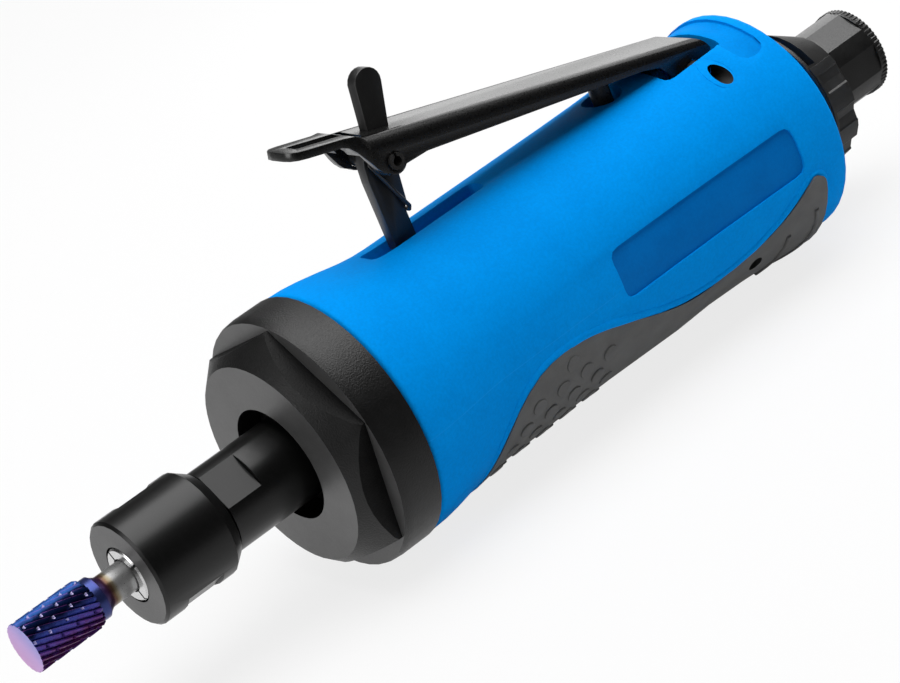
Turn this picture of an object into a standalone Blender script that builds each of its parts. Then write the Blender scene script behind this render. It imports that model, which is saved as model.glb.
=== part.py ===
"""Straight air die grinder with a safety lever, a collet and a rotary burr.

Metres, +Z up. The tool axis lies on X, with the burr at -X and the air inlet at +X. The origin is on
the axis, at the middle of the hand grip, and the throttle lever is on top. Angles round the axis are
measured from the top towards -Y.
"""

import math

import bmesh
import bpy
from mathutils import Matrix, Vector

# Fits and resolution
CLEARANCE = 0.0003
PRESS_GAP = 0.00015
WELD = 0.000002
SEGMENTS = 48
FINE_SEGMENTS = 28
INNER_SEGMENTS = 20
SMALL_SEGMENTS = 14
REACH = 0.05

# Throttle valve
SEAT_X = 0.0275
SEAT_LENGTH = 0.0019
SEAT_RADIUS = 0.0057
SEAT_BORE = 0.0027
TIP_STEM_RADIUS = 0.0012
TIP_STEM_LENGTH = 0.0132
TIP_STEM_ROOM = 0.002
TIP_HEAD_RADIUS = 0.0042
TIP_HEAD_LENGTH = 0.0025
TIP_SPIGOT_RADIUS = 0.0016
TIP_SPIGOT_LENGTH = 0.002
VALVE_CHAMBER_RADIUS = 0.0042
VALVE_SPRING_RADIUS = 0.0027
VALVE_SPRING_WIRE = 0.0004
VALVE_SPRING_LENGTH = 0.0063
VALVE_SPRING_TURNS = 4
PLUNGER_X = 0.0197
PLUNGER_RADIUS = 0.002
PLUNGER_DOME = 0.0006
PLUNGER_SEAL_RADIUS = 0.00075
PLUNGER_HOLE_FLOOR = 0.010
PLUNGER_BUSHING_LENGTH = 0.0054

# Vane motor
BULKHEAD = 0.0017
MOTOR_RADIUS = 0.0155
LINER_BORE_RADIUS = 0.0128
LINER_OFFSET = 0.0012
LINER_LENGTH = 0.045
LINER_PORT_RADIUS = 0.0024
LINER_PORT_PITCH = 0.011
LINER_PORTS = 3
DOWEL_RADIUS = 0.0009
DOWEL_LENGTH = 0.005
ROTOR_RADIUS = 0.0113
ROTOR_END_GAP = 0.0005
BLADES = 5
BLADE_THICKNESS = 0.0015
BLADE_SLOT_RADIUS = 0.0066
FRONT_SPIGOT_LENGTH = 0.0035
FRONT_CUP_RADIUS = 0.017
FRONT_CUP_LENGTH = 0.0165
FRONT_WEB = 0.003
REAR_PLATE_LENGTH = 0.0091
REAR_WEB = 0.0018

# Ball bearings
FRONT_BEARING_RADIUS = 0.014
FRONT_BEARING_BORE = 0.006
FRONT_BEARING_WIDTH = 0.008
REAR_BEARING_RADIUS = 0.0095
REAR_BEARING_BORE = 0.0035
REAR_BEARING_WIDTH = 0.006
RACE_SHARE = 0.3
SHIELD_THICKNESS = 0.0006
SPACER_WALL = 0.0017
WASHER_THICKNESS = 0.0005
WASHER_WAVE = 0.00015
WASHER_WAVES = 3

# Nose cap
CAP_LENGTH = 0.0144
CAP_LIP = 0.00025
CAP_FACE_DROP = 0.00545
CAP_CONE_DROP = 0.00195
CAP_CONE_LENGTH = 0.0038
CAP_CROWN_LENGTH = 0.0043
CAP_BORE_RADIUS = 0.0111
CAP_FRONT_WALL = 0.005
CAP_FLAT_DROP = 0.004
CAP_FLAT_LENGTH = 0.0061
CAP_FLAT_ANGLE = 40.2
CAP_SKIRT_WALL = 0.0032
CAP_SKIRT_LENGTH = 0.0071
SEAL_WALL = 0.0059
SEAL_LENGTH = 0.0029

# Spindle, collet and collet nut
SPINDLE_RADIUS = 0.008
SPINDLE_CORE_RADIUS = 0.005
SPINDLE_ACROSS_FLATS = 0.014
SPINDLE_FLAT_LENGTH = 0.0075
SPINDLE_FLAT_ANGLE = 42.7
THREAD_RADIUS = 0.0076
THREAD_GAP = 0.0004
GROOVE_RADIUS = 0.0069
GROOVE_LENGTH = 0.0012
GROOVE_SHOWN = 0.0006
NUT_STANDOFF = 0.0166
NUT_LENGTH = 0.0178
NUT_RADIUS = 0.0103
NUT_FRONT_CHAMFER = 0.0005
NUT_REAR_CHAMFER = 0.0022
NUT_REAR_RADIUS = 0.0087
NUT_MOUTH_LENGTH = 0.0022
NUT_CONE_LENGTH = 0.0034
NUT_RELIEF = 0.0008
NUT_ACROSS_FLATS = 0.0194
NUT_FLAT_LENGTH = 0.0078
NUT_FLAT_SETBACK = 0.0047
NUT_FLAT_ANGLE = -32.0
COLLET_LENGTH = 0.0236
COLLET_PROUD = 0.0002
COLLET_MOUTH_RADIUS = 0.0052
COLLET_BODY_RADIUS = 0.0061
COLLET_TAIL_RADIUS = 0.0049
COLLET_TAIL_LENGTH = 0.010
COLLET_RIM = 0.0003
COLLET_SLITS = 4
COLLET_SLIT_WIDTH = 0.0005
COLLET_SLIT_LENGTH = 0.0146

# Rotary burr
SHANK_RADIUS = 0.003
SHANK_GRIP_LENGTH = 0.024
SHANK_SHOWN = 0.0049
SHANK_ROOM = 0.009
BURR_NECK_LENGTH = 0.0017
BURR_COLLAR_RADIUS = 0.004
BURR_COLLAR_LENGTH = 0.0015
BURR_HEAD_RADIUS = 0.0046
BURR_HEAD_LENGTH = 0.0136
BURR_TEETH = 20
BURR_TOOTH_DEPTH = 0.00055
BURR_RUN_OUT = 0.0015
BURR_TOOTH_LEAN = 0.3
BURR_HELIX_TURN = -75.0
BURR_STATIONS = 9

# Moulded motor housing
HOUSING_REAR_X = 0.0566
WAIST_RADIUS = 0.0223
NOSE_RADIUS = 0.0248
NOSE_LAND = 0.0013
NOSE_FLARE_LENGTH = 0.021
TAIL_RADIUS = 0.02317
TAIL_SWELL_X = 0.010
TAIL_EDGE_X = 0.0497
TAIL_EDGE_RADIUS = 0.0016
TAIL_NECK_RADIUS = 0.0138
TAIL_NECK_LENGTH = 0.0016
TAIL_SHOULDER = 0.0018
EXHAUST_INNER_RADIUS = 0.0100
EXHAUST_OUTER_RADIUS = 0.0126
EXHAUST_DEPTH = 0.0111
DUCT_RADIUS = 0.0011
DUCTS = 5
DUCT_PITCH = 30.0
PANEL_FRONT_X = -0.0062
PANEL_REAR_X = 0.0405
PANEL_LOW_Z = -0.0034
PANEL_HIGH_Z = 0.0063
PANEL_CORNER = 0.0023
PANEL_DEPTH = 0.0005
HOOD_PANEL_X = 0.0453
HOOD_PANEL_WIDTH = 0.0062
HOOD_PANEL_SPAN = 0.029

# Rubber grip sleeve
SLEEVE_DEPTH = 0.0013
SLEEVE_PROUD = 0.00025
SLEEVE_SWELL = 0.00035
SLEEVE_SWELL_PITCH = 0.038
SLEEVE_SWELL_X = 0.006
SLEEVE_BUMPER = 0.0005
SLEEVE_BUMPER_LENGTH = 0.010
SLEEVE_FRONT_X = -0.0445
SLEEVE_REAR_X = 0.0440
SLEEVE_CREST_X = -0.0225
SLEEVE_CREST_Z = -0.0039
SLEEVE_VALLEY_X = 0.0145
SLEEVE_VALLEY_Z = -0.013
SLEEVE_TAIL_Z = -0.0052
SLEEVE_NOSE_Z = -0.0215
SLEEVE_CORNER = 0.0025
SLEEVE_CURVE = 2.4
SLEEVE_STATIONS = 10
SLEEVE_EDGE_STATIONS = 28

# Throttle lever
LEVER_PIVOT_X = 0.0365
LEVER_PIVOT_Z = 0.0187
LEVER_ANGLE = 15.1
LEVER_HALF_WIDTH = 0.00675
LEVER_SHEET = 0.0015
LEVER_BEND = 0.0014
LEVER_TOP = 0.00595
LEVER_REAR = 0.0053
LEVER_REAR_SLOPE = 0.0033
LEVER_REAR_DROP = 0.00265
LEVER_TIP = 0.0885
LEVER_KNEE = 0.012
LEVER_KNEE_RISE = 0.003
LEVER_FRONT_RISE = 0.0008
LEVER_FRONT_SETBACK = 0.007
TONGUE_LENGTH = 0.0147
TONGUE_TAPER = 0.004
TONGUE_HALF_WIDTH = 0.0048
TONGUE_DEPTH = 0.0015
TONGUE_RISE = 0.0007
TONGUE_BEND = 0.002
TONGUE_CORNER = 0.0032
FLANGE_REACH = 0.0091
PIVOT_EAR_RADIUS = 0.0034
PIVOT_PIN_RADIUS = 0.0022
PIVOT_PIN_LENGTH = 0.023
POCKET_AHEAD = 0.008
POCKET_BEHIND = 0.0069
POCKET_SIDE_GAP = 0.00195
POCKET_EAR_GAP = 0.0007

# Safety latch
LATCH_PIN_AHEAD = 0.0691
LATCH_PIN_RISE = 0.00073
LATCH_PIN_RADIUS = 0.0016
LATCH_PIN_BORE = 0.0009
LATCH_PIN_SLIT = 0.0005
LATCH_PIN_PROUD = 0.0006
LATCH_EAR_RADIUS = 0.0024
LATCH_THICKNESS = 0.0025
LATCH_HUB_FRONT = 0.0031
LATCH_HUB_REAR = 0.0036
LATCH_LEG_LENGTH = 0.0168
LATCH_LEG_FRONT = 0.0034
LATCH_LEG_REAR = 0.0014
LATCH_STEP = 0.0008
LATCH_STEP_DROP = 0.010
LATCH_TAB_HEIGHT = 0.0126
LATCH_TAB_LEAN = 0.0043
LATCH_TAB_RADIUS = 0.0028
LATCH_WINDOW_AHEAD = 0.0045
LATCH_WINDOW_BEHIND = 0.0048
LATCH_WINDOW_HALF_WIDTH = 0.0048
LATCH_SLIDE_GAP = 0.00045
LATCH_SLOT_AHEAD = 0.0094
LATCH_SLOT_BEHIND = 0.0178
LATCH_SLOT_WIDTH = 0.005
LATCH_SLOT_ROOM = 0.0032
LATCH_SLOT_CORNER = 0.0015
LATCH_SPRING_WIRE = 0.0004
LATCH_SPRING_RADIUS = 0.0024
LATCH_SPRING_PITCH = 0.0013
LATCH_SPRING_TURNS = 2
LATCH_SPRING_TAIL = 0.001
CURL_POINTS = 10

# Air inlet
DEFLECTOR_LENGTH = 0.0104
INLET_THREAD_RADIUS = 0.0077
INLET_RADIUS = 0.009
INLET_ACROSS_FLATS = 0.017
INLET_FLAT_ANGLE = 30.6
INLET_HEX_LENGTH = 0.0098
INLET_BAND_LENGTH = 0.0021
INLET_SOCKET_RADIUS = 0.0056
INLET_SOCKET_DEPTH = 0.014
INLET_BORE_RADIUS = 0.0045
INLET_LIP_RADIUS = 0.002
INLET_LIP_LENGTH = 0.0015
INLET_CHAMFER = 0.0005
INLET_SEAL_RADIUS = 0.0006
INLET_SEAL_SETBACK = 0.010
SCREEN_THICKNESS = 0.0008
SCREEN_HOLE_RADIUS = 0.0007
SCREEN_HOLE_CIRCLE = 0.0032
SCREEN_HOLES = 6

# Exhaust deflector
DEFLECTOR_RADIUS = 0.0154
DEFLECTOR_RIM = 0.0006
DEFLECTOR_COLLAR_LENGTH = 0.0061
DEFLECTOR_REAR_RADIUS = 0.0094
DEFLECTOR_WALL = 0.0019
DEFLECTOR_END_WALL = 0.0018
DEFLECTOR_OPEN_ANGLE = 57.0
DEFLECTOR_SLOT_ANGLE = 54.0
DEFLECTOR_SLOT_WIDTH = 0.0028
DEFLECTOR_NOTCHES = 8
DEFLECTOR_NOTCH_PITCH = 31.0
DEFLECTOR_NOTCH_RADIUS = 0.0041
DEFLECTOR_NOTCH_DEPTH = 0.0009
MUFFLER_LENGTH = 0.005

# Stations along the axis, from the throttle valve forward to the burr
SEAT_REAR_X = SEAT_X + SEAT_LENGTH
TIP_HEAD_X = SEAT_REAR_X + CLEARANCE
TIP_STEM_END_X = TIP_HEAD_X - TIP_STEM_LENGTH
CHAMBER_X = TIP_STEM_END_X - TIP_STEM_ROOM
MOTOR_BORE_X = CHAMBER_X - BULKHEAD
REAR_PLATE_REAR_X = MOTOR_BORE_X - CLEARANCE
REAR_PLATE_X = REAR_PLATE_REAR_X - REAR_PLATE_LENGTH
REAR_BEARING_X = REAR_PLATE_X + REAR_WEB + CLEARANCE
LINER_REAR_X = REAR_PLATE_X - CLEARANCE
LINER_X = LINER_REAR_X - LINER_LENGTH
FRONT_PLATE_REAR_X = LINER_X - CLEARANCE
CUP_REAR_X = FRONT_PLATE_REAR_X - FRONT_SPIGOT_LENGTH
CUP_X = CUP_REAR_X - FRONT_CUP_LENGTH
FRONT_BEARING_REAR_X = FRONT_PLATE_REAR_X - FRONT_WEB - CLEARANCE
FRONT_BEARING_X = FRONT_BEARING_REAR_X - FRONT_BEARING_WIDTH
SEAL_REAR_X = CUP_X - 2 * CLEARANCE
SEAL_X = SEAL_REAR_X - SEAL_LENGTH
CAP_POCKET_X = SEAL_X - CLEARANCE
CAP_FACE_X = CAP_POCKET_X - CAP_FRONT_WALL
CAP_BACK_X = CAP_FACE_X + CAP_LENGTH
CAP_FLANGE_RADIUS = NOSE_RADIUS + CAP_LIP
CAP_FACE_RADIUS = CAP_FLANGE_RADIUS - CAP_FACE_DROP
CAP_CONE_RADIUS = CAP_FLANGE_RADIUS - CAP_CONE_DROP
CAP_ACROSS_FLATS = 2 * (CAP_FLANGE_RADIUS - CAP_FLAT_DROP)
CAP_SKIRT_X = CAP_BACK_X + CAP_SKIRT_LENGTH
HOUSING_X = CAP_BACK_X + CLEARANCE
NUT_REAR_X = CAP_FACE_X - NUT_STANDOFF
NUT_X = NUT_REAR_X - NUT_LENGTH
NUT_CONE_X = NUT_X + NUT_MOUTH_LENGTH
NUT_THREAD_X = NUT_CONE_X + NUT_CONE_LENGTH
SPINDLE_X = NUT_THREAD_X + NUT_RELIEF
COLLET_X = NUT_X - COLLET_PROUD
COLLET_REAR_X = COLLET_X + COLLET_LENGTH

# Stations behind the throttle valve
SPRING_X = TIP_HEAD_X + TIP_HEAD_LENGTH + CLEARANCE
INLET_X = SPRING_X + VALVE_SPRING_LENGTH + CLEARANCE
DEFLECTOR_X = HOUSING_REAR_X + CLEARANCE
DEFLECTOR_REAR_X = DEFLECTOR_X + DEFLECTOR_LENGTH
INLET_HEX_X = DEFLECTOR_REAR_X + CLEARANCE
INLET_BAND_X = INLET_HEX_X + INLET_HEX_LENGTH
INLET_END_X = INLET_BAND_X + INLET_BAND_LENGTH

# Shared radii and places
MOTOR_BORE_RADIUS = MOTOR_RADIUS + CLEARANCE
CUP_BORE_RADIUS = FRONT_CUP_RADIUS + CLEARANCE
CAP_SKIRT_RADIUS = CUP_BORE_RADIUS + CAP_SKIRT_WALL
FRONT_POCKET_RADIUS = FRONT_BEARING_RADIUS + CLEARANCE
REAR_POCKET_RADIUS = REAR_BEARING_RADIUS + CLEARANCE
JOURNAL_RADIUS = FRONT_BEARING_BORE - CLEARANCE
TAIL_JOURNAL_RADIUS = REAR_BEARING_BORE - CLEARANCE
SEAL_BORE = SPINDLE_RADIUS + CLEARANCE
SEAL_RADIUS = SEAL_BORE + SEAL_WALL
SEAT_POCKET_RADIUS = SEAT_RADIUS + CLEARANCE
INLET_HOLE_RADIUS = INLET_THREAD_RADIUS + CLEARANCE
PLUNGER_BORE = PLUNGER_RADIUS + CLEARANCE
PLUNGER_HOLE_RADIUS = PLUNGER_BORE + 2 * PLUNGER_SEAL_RADIUS + CLEARANCE
LEVER_TILT = math.radians(LEVER_ANGLE)
LATCH_PIN_X = (LEVER_PIVOT_X - LATCH_PIN_AHEAD * math.cos(LEVER_TILT)
               + LATCH_PIN_RISE * math.sin(LEVER_TILT))
LATCH_PIN_Z = (LEVER_PIVOT_Z + LATCH_PIN_AHEAD * math.sin(LEVER_TILT)
               + LATCH_PIN_RISE * math.cos(LEVER_TILT))
LATCH_SLOT_FLOOR = LATCH_PIN_Z - LATCH_LEG_LENGTH - LATCH_SLOT_ROOM


def clear_scene():
    for item in list(bpy.data.objects):
        bpy.data.objects.remove(item, do_unlink=True)


def finished(name, shape):
    """Object from a closed shape, with its faces turned outward."""
    bmesh.ops.recalc_face_normals(shape, faces=shape.faces)
    mesh = bpy.data.meshes.new(name)
    shape.to_mesh(mesh)
    shape.free()
    item = bpy.data.objects.new(name, mesh)
    bpy.context.collection.objects.link(item)
    return item


def turned(name, profile, segments=FINE_SEGMENTS):
    """Solid of revolution about X from a closed outline of (x, radius) points."""
    shape = bmesh.new()
    corners = [shape.verts.new((x, 0.0, radius)) for x, radius in profile]
    edges = [shape.edges.new(pair) for pair in zip(corners, corners[1:] + corners[:1])]
    bmesh.ops.spin(shape, geom=corners + edges, axis=(1, 0, 0), cent=(0, 0, 0), angle=math.tau,
                   steps=segments, use_merge=True)
    bmesh.ops.remove_doubles(shape, verts=shape.verts, dist=WELD)
    on_axis = [edge for edge in shape.edges if edge.is_wire]
    bmesh.ops.delete(shape, geom=on_axis, context="EDGES")
    return finished(name, shape)


def tube(name, start, end, outer, inner, segments=FINE_SEGMENTS):
    return turned(name, [(start, outer), (end, outer), (end, inner), (start, inner)], segments)


def rod(name, start, end, radius, segments=FINE_SEGMENTS):
    return turned(name, [(start, 0.0), (start, radius), (end, radius), (end, 0.0)], segments)


def ring(name, x, major, minor, segments=FINE_SEGMENTS, sides=8):
    """Round-section seal ring about X."""
    section = [(x + minor * math.cos(turn), major + minor * math.sin(turn))
               for turn in (math.tau * step / sides for step in range(sides))]
    return turned(name, section, segments)


def prism(name, outline, axis, low, high):
    """Straight bar along an axis; its outline is in (y, z), (x, z) or (x, y) for X, Y or Z."""
    places = {
        "X": lambda u, v, w: (w, u, v),
        "Y": lambda u, v, w: (u, w, v),
        "Z": lambda u, v, w: (u, v, w),
    }
    place = places[axis]
    shape = bmesh.new()
    face = shape.faces.new([shape.verts.new(place(u, v, low)) for u, v in outline])
    copied = bmesh.ops.extrude_face_region(shape, geom=[face])["geom"]
    moved = [part for part in copied if isinstance(part, bmesh.types.BMVert)]
    bmesh.ops.translate(shape, verts=moved, vec=place(0.0, 0.0, high - low))
    return finished(name, shape)


def loft(name, sections):
    """Solid through closed sections of equally many points, capped at both ends."""
    shape = bmesh.new()
    loops = [[shape.verts.new(point) for point in section] for section in sections]
    for near, far in zip(loops, loops[1:]):
        for step in range(len(near)):
            following = (step + 1) % len(near)
            shape.faces.new((near[step], near[following], far[following], far[step]))
    shape.faces.new(loops[0])
    shape.faces.new(loops[-1])
    return finished(name, shape)


def wire(name, path, radius):
    """One unbroken round wire along a path of points; prints its least gap to itself."""
    curve = bpy.data.curves.new(name, "CURVE")
    curve.dimensions = "3D"
    curve.bevel_depth = radius
    curve.bevel_resolution = 1
    curve.use_fill_caps = True
    spline = curve.splines.new("POLY")
    spline.points.add(len(path) - 1)
    for point, place in zip(spline.points, path):
        point.co = (*place, 1.0)
    strand = bpy.data.objects.new(name, curve)
    bpy.context.collection.objects.link(strand)
    shape = bmesh.new()
    shape.from_mesh(evaluated_mesh(strand))
    bpy.data.objects.remove(strand, do_unlink=True)
    bmesh.ops.remove_doubles(shape, verts=shape.verts, dist=WELD)
    half_curl = CURL_POINTS // 2
    least = min((Vector(path[i]) - Vector(path[j])).length
                for i in range(len(path)) for j in range(i + half_curl, len(path)))
    print(f"{name}: least gap to itself {(least - 2 * radius) * 1000:.2f} mm")
    return finished(name, shape)


def evaluated_mesh(item):
    bpy.context.view_layer.update()
    return bpy.data.meshes.new_from_object(item.evaluated_get(bpy.context.evaluated_depsgraph_get()))


def reshape(item, tools, operation):
    """Cut, join or trim a solid with others, which are used up."""
    for tool in tools:
        change = item.modifiers.new(operation, "BOOLEAN")
        change.operation = operation
        change.solver = "EXACT"
        change.object = tool
        shape = bmesh.new()
        shape.from_mesh(evaluated_mesh(item))
        bmesh.ops.remove_doubles(shape, verts=shape.verts, dist=WELD)
        bmesh.ops.dissolve_degenerate(shape, edges=shape.edges, dist=WELD)
        item.modifiers.clear()
        shape.to_mesh(item.data)
        shape.free()
        bpy.data.objects.remove(tool, do_unlink=True)
    return item


def cut(item, *tools):
    return reshape(item, tools, "DIFFERENCE")


def trim(item, *tools):
    return reshape(item, tools, "INTERSECT")


def spun(item, degrees):
    """Turn a solid about the tool axis, from the top towards -Y."""
    item.data.transform(Matrix.Rotation(math.radians(degrees), 4, "X"))
    return item


def across(item, x, z):
    """Lay a solid turned about X along Y, at a place in the side view."""
    item.data.transform(Matrix.Translation((x, 0.0, z)) @ Matrix.Rotation(math.radians(90), 4, "Z"))
    return item


def upright(item, x):
    """Stand a solid turned about X on end along Z."""
    item.data.transform(Matrix.Translation((x, 0.0, 0.0)) @ Matrix.Rotation(math.radians(-90), 4, "Y"))
    return item


def arc(centre, radius, start, end, steps):
    """Points of a circular arc, in degrees from the first coordinate's axis."""
    angles = [math.radians(start + (end - start) * step / steps) for step in range(steps + 1)]
    return [(centre[0] + radius * math.cos(a), centre[1] + radius * math.sin(a)) for a in angles]


def rounded(corners, steps=3):
    """Polygon from (u, v, radius) corners, each rounded by its radius where its sides allow it."""
    outline = []
    for index, (u, v, radius) in enumerate(corners):
        here = Vector((u, v))
        before = Vector(corners[index - 1][:2]) - here
        after = Vector(corners[(index + 1) % len(corners)][:2]) - here
        if radius == 0.0:
            outline.append((u, v))
            continue
        half = before.angle(after) / 2
        reach = min(radius / math.tan(half), before.length * 0.45, after.length * 0.45)
        first = here + before.normalized() * reach
        last = here + after.normalized() * reach
        for step in range(steps + 1):
            t = step / steps
            point = first * (1 - t) ** 2 + here * 2 * t * (1 - t) + last * t ** 2
            outline.append((point.x, point.y))
    return outline


def slab(u0, u1, v0, v1, radius):
    return rounded([(u0, v0, radius), (u1, v0, radius), (u1, v1, radius), (u0, v1, radius)])


def flats(name, angles, apothem, start, end):
    """Blocks beyond flats that lie parallel to the axis, to cut a round piece with."""
    outline = [(-REACH, apothem), (REACH, apothem), (REACH, REACH), (-REACH, REACH)]
    return [spun(prism(name, outline, "X", start, end), angle) for angle in angles]


def eased(low, high, share):
    """Smooth step between two values."""
    share = min(max(share, 0.0), 1.0)
    return low + (high - low) * (1 - math.cos(math.pi * share)) / 2


def housing_radius(x):
    if x < TAIL_SWELL_X:
        return eased(NOSE_RADIUS, WAIST_RADIUS, (x - HOUSING_X - NOSE_LAND) / NOSE_FLARE_LENGTH)
    return eased(WAIST_RADIUS, TAIL_RADIUS, (x - TAIL_SWELL_X) / (TAIL_EDGE_X - TAIL_SWELL_X))


def stations(start, end, count):
    return [start + (end - start) * step / count for step in range(count + 1)]


def skin(name, start, end, depth, proud, count):
    """Shell that follows the outside of the housing, from a depth below it to a height above it."""
    places = stations(start, end, count)
    outside = [(x, housing_radius(x) + proud(x)) for x in places]
    inside = [(x, housing_radius(x) - depth) for x in reversed(places)]
    return turned(name, outside + inside, SEGMENTS)


def dress(item, colour, roughness, metallic=0.0):
    """Give a finished piece its material and smooth its round faces."""
    look = bpy.data.materials.new(item.name)
    look.use_nodes = True
    shader = look.node_tree.nodes["Principled BSDF"]
    shader.inputs["Base Color"].default_value = (*colour, 1.0)
    shader.inputs["Roughness"].default_value = roughness
    shader.inputs["Metallic"].default_value = metallic
    item.data.materials.clear()
    item.data.materials.append(look)
    item.data.shade_smooth()
    item.data.set_sharp_from_angle(angle=math.radians(35))
    return item


def set_origin(item, place):
    """Move an object's origin onto its joint axis without moving the piece."""
    item.data.transform(Matrix.Translation(-Vector(place)))
    item.location = place
    return item


BLUE = (0.0, 0.235, 0.70)
RUBBER = (0.012, 0.012, 0.013)
BLACK_OXIDE = (0.018, 0.018, 0.020)
STEEL = (0.50, 0.50, 0.51)
DARK_STEEL = (0.16, 0.16, 0.17)
BRASS = (0.66, 0.46, 0.16)
BLACK_ENAMEL = (0.02, 0.02, 0.021)
FELT = (0.30, 0.29, 0.27)


def motor_housing():
    """Moulded body: motor bore, valve chamber, inlet thread, exhaust passages and the lever's pocket."""
    tail_neck_x = HOUSING_REAR_X - TAIL_NECK_LENGTH
    flare = stations(HOUSING_X + NOSE_LAND, HOUSING_X + NOSE_LAND + NOSE_FLARE_LENGTH, 7)
    swell = stations(TAIL_SWELL_X, TAIL_EDGE_X, 5)
    outside = [(HOUSING_X, NOSE_RADIUS)] + [(x, housing_radius(x)) for x in flare + swell]
    edge = arc((TAIL_EDGE_X, TAIL_RADIUS - TAIL_EDGE_RADIUS), TAIL_EDGE_RADIUS, 90, 30, 3)
    tail = [
        (tail_neck_x, TAIL_NECK_RADIUS + TAIL_SHOULDER),
        (tail_neck_x, TAIL_NECK_RADIUS),
        (HOUSING_REAR_X, TAIL_NECK_RADIUS),
        (HOUSING_REAR_X, 0.0),
    ]
    body = turned("motor_housing", [(HOUSING_X, 0.0)] + outside + edge[1:] + tail, SEGMENTS)
    exhaust = tube("exhaust", HOUSING_REAR_X - EXHAUST_DEPTH, HOUSING_REAR_X + REACH, EXHAUST_OUTER_RADIUS,
                   EXHAUST_INNER_RADIUS, INNER_SEGMENTS)
    return cut(body, motor_bore(), valve_bore(), exhaust, *housing_openings(), *housing_recesses())


def motor_bore():
    """Stepped bore from the nose: cap skirt, front plate and motor."""
    return turned("motor_bore", [
        (HOUSING_X - REACH, 0.0),
        (HOUSING_X - REACH, CAP_SKIRT_RADIUS + CLEARANCE),
        (CAP_SKIRT_X + CLEARANCE, CAP_SKIRT_RADIUS + CLEARANCE),
        (CAP_SKIRT_X + CLEARANCE, CUP_BORE_RADIUS),
        (CUP_REAR_X + CLEARANCE, CUP_BORE_RADIUS),
        (CUP_REAR_X + CLEARANCE, MOTOR_BORE_RADIUS),
        (MOTOR_BORE_X, MOTOR_BORE_RADIUS),
        (MOTOR_BORE_X, 0.0),
    ], FINE_SEGMENTS)


def valve_bore():
    """Stepped bore from the tail: inlet thread, valve seat and valve chamber, then the air supply hole."""
    return turned("valve_bore", [
        (MOTOR_BORE_X - BULKHEAD, 0.0),
        (MOTOR_BORE_X - BULKHEAD, SEAT_BORE / 2),
        (CHAMBER_X, SEAT_BORE / 2),
        (CHAMBER_X, VALVE_CHAMBER_RADIUS),
        (SEAT_X - CLEARANCE, VALVE_CHAMBER_RADIUS),
        (SEAT_X - CLEARANCE, SEAT_POCKET_RADIUS),
        (INLET_X - CLEARANCE, SEAT_POCKET_RADIUS),
        (INLET_X - CLEARANCE, INLET_HOLE_RADIUS),
        (HOUSING_REAR_X + REACH, INLET_HOLE_RADIUS),
        (HOUSING_REAR_X + REACH, 0.0),
    ], INNER_SEGMENTS)


def plunger_hole():
    """Hole from the top of the housing down into the valve chamber, wider above for seal and bushing."""
    return upright(turned("plunger_hole", [
        (0.0, 0.0),
        (0.0, PLUNGER_BORE),
        (PLUNGER_HOLE_FLOOR, PLUNGER_BORE),
        (PLUNGER_HOLE_FLOOR, PLUNGER_HOLE_RADIUS),
        (REACH, PLUNGER_HOLE_RADIUS),
        (REACH, 0.0),
    ], SMALL_SEGMENTS), PLUNGER_X)


def housing_openings():
    """Slot for the latch, pocket and pin hole for the lever, plunger hole and air passages."""
    slot = slab(LATCH_PIN_X - LATCH_SLOT_AHEAD, LATCH_PIN_X + LATCH_SLOT_BEHIND,
                -LATCH_SLOT_WIDTH / 2, LATCH_SLOT_WIDTH / 2, LATCH_SLOT_CORNER)
    pocket_half = LEVER_HALF_WIDTH + POCKET_SIDE_GAP
    pocket_floor = LEVER_PIVOT_Z - PIVOT_EAR_RADIUS - POCKET_EAR_GAP
    pocket = slab(LEVER_PIVOT_X - POCKET_AHEAD, LEVER_PIVOT_X + POCKET_BEHIND, -pocket_half, pocket_half,
                  POCKET_SIDE_GAP)
    duct_circle = (EXHAUST_INNER_RADIUS + EXHAUST_OUTER_RADIUS) / 2
    openings = [
        prism("latch_slot", slot, "Z", LATCH_SLOT_FLOOR, REACH),
        prism("lever_pocket", pocket, "Z", pocket_floor, REACH),
        across(rod("pivot_hole", -REACH, REACH, PIVOT_PIN_RADIUS + CLEARANCE, SMALL_SEGMENTS), LEVER_PIVOT_X,
               LEVER_PIVOT_Z),
        plunger_hole(),
    ]
    for number in range(DUCTS):
        duct = rod("duct", MOTOR_BORE_X - BULKHEAD, HOUSING_REAR_X - EXHAUST_DEPTH / 2, DUCT_RADIUS, 8)
        duct.data.transform(Matrix.Translation((0.0, 0.0, duct_circle)))
        openings.append(spun(duct, 180 + DUCT_PITCH * (number - (DUCTS - 1) / 2)))
    return openings


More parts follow.
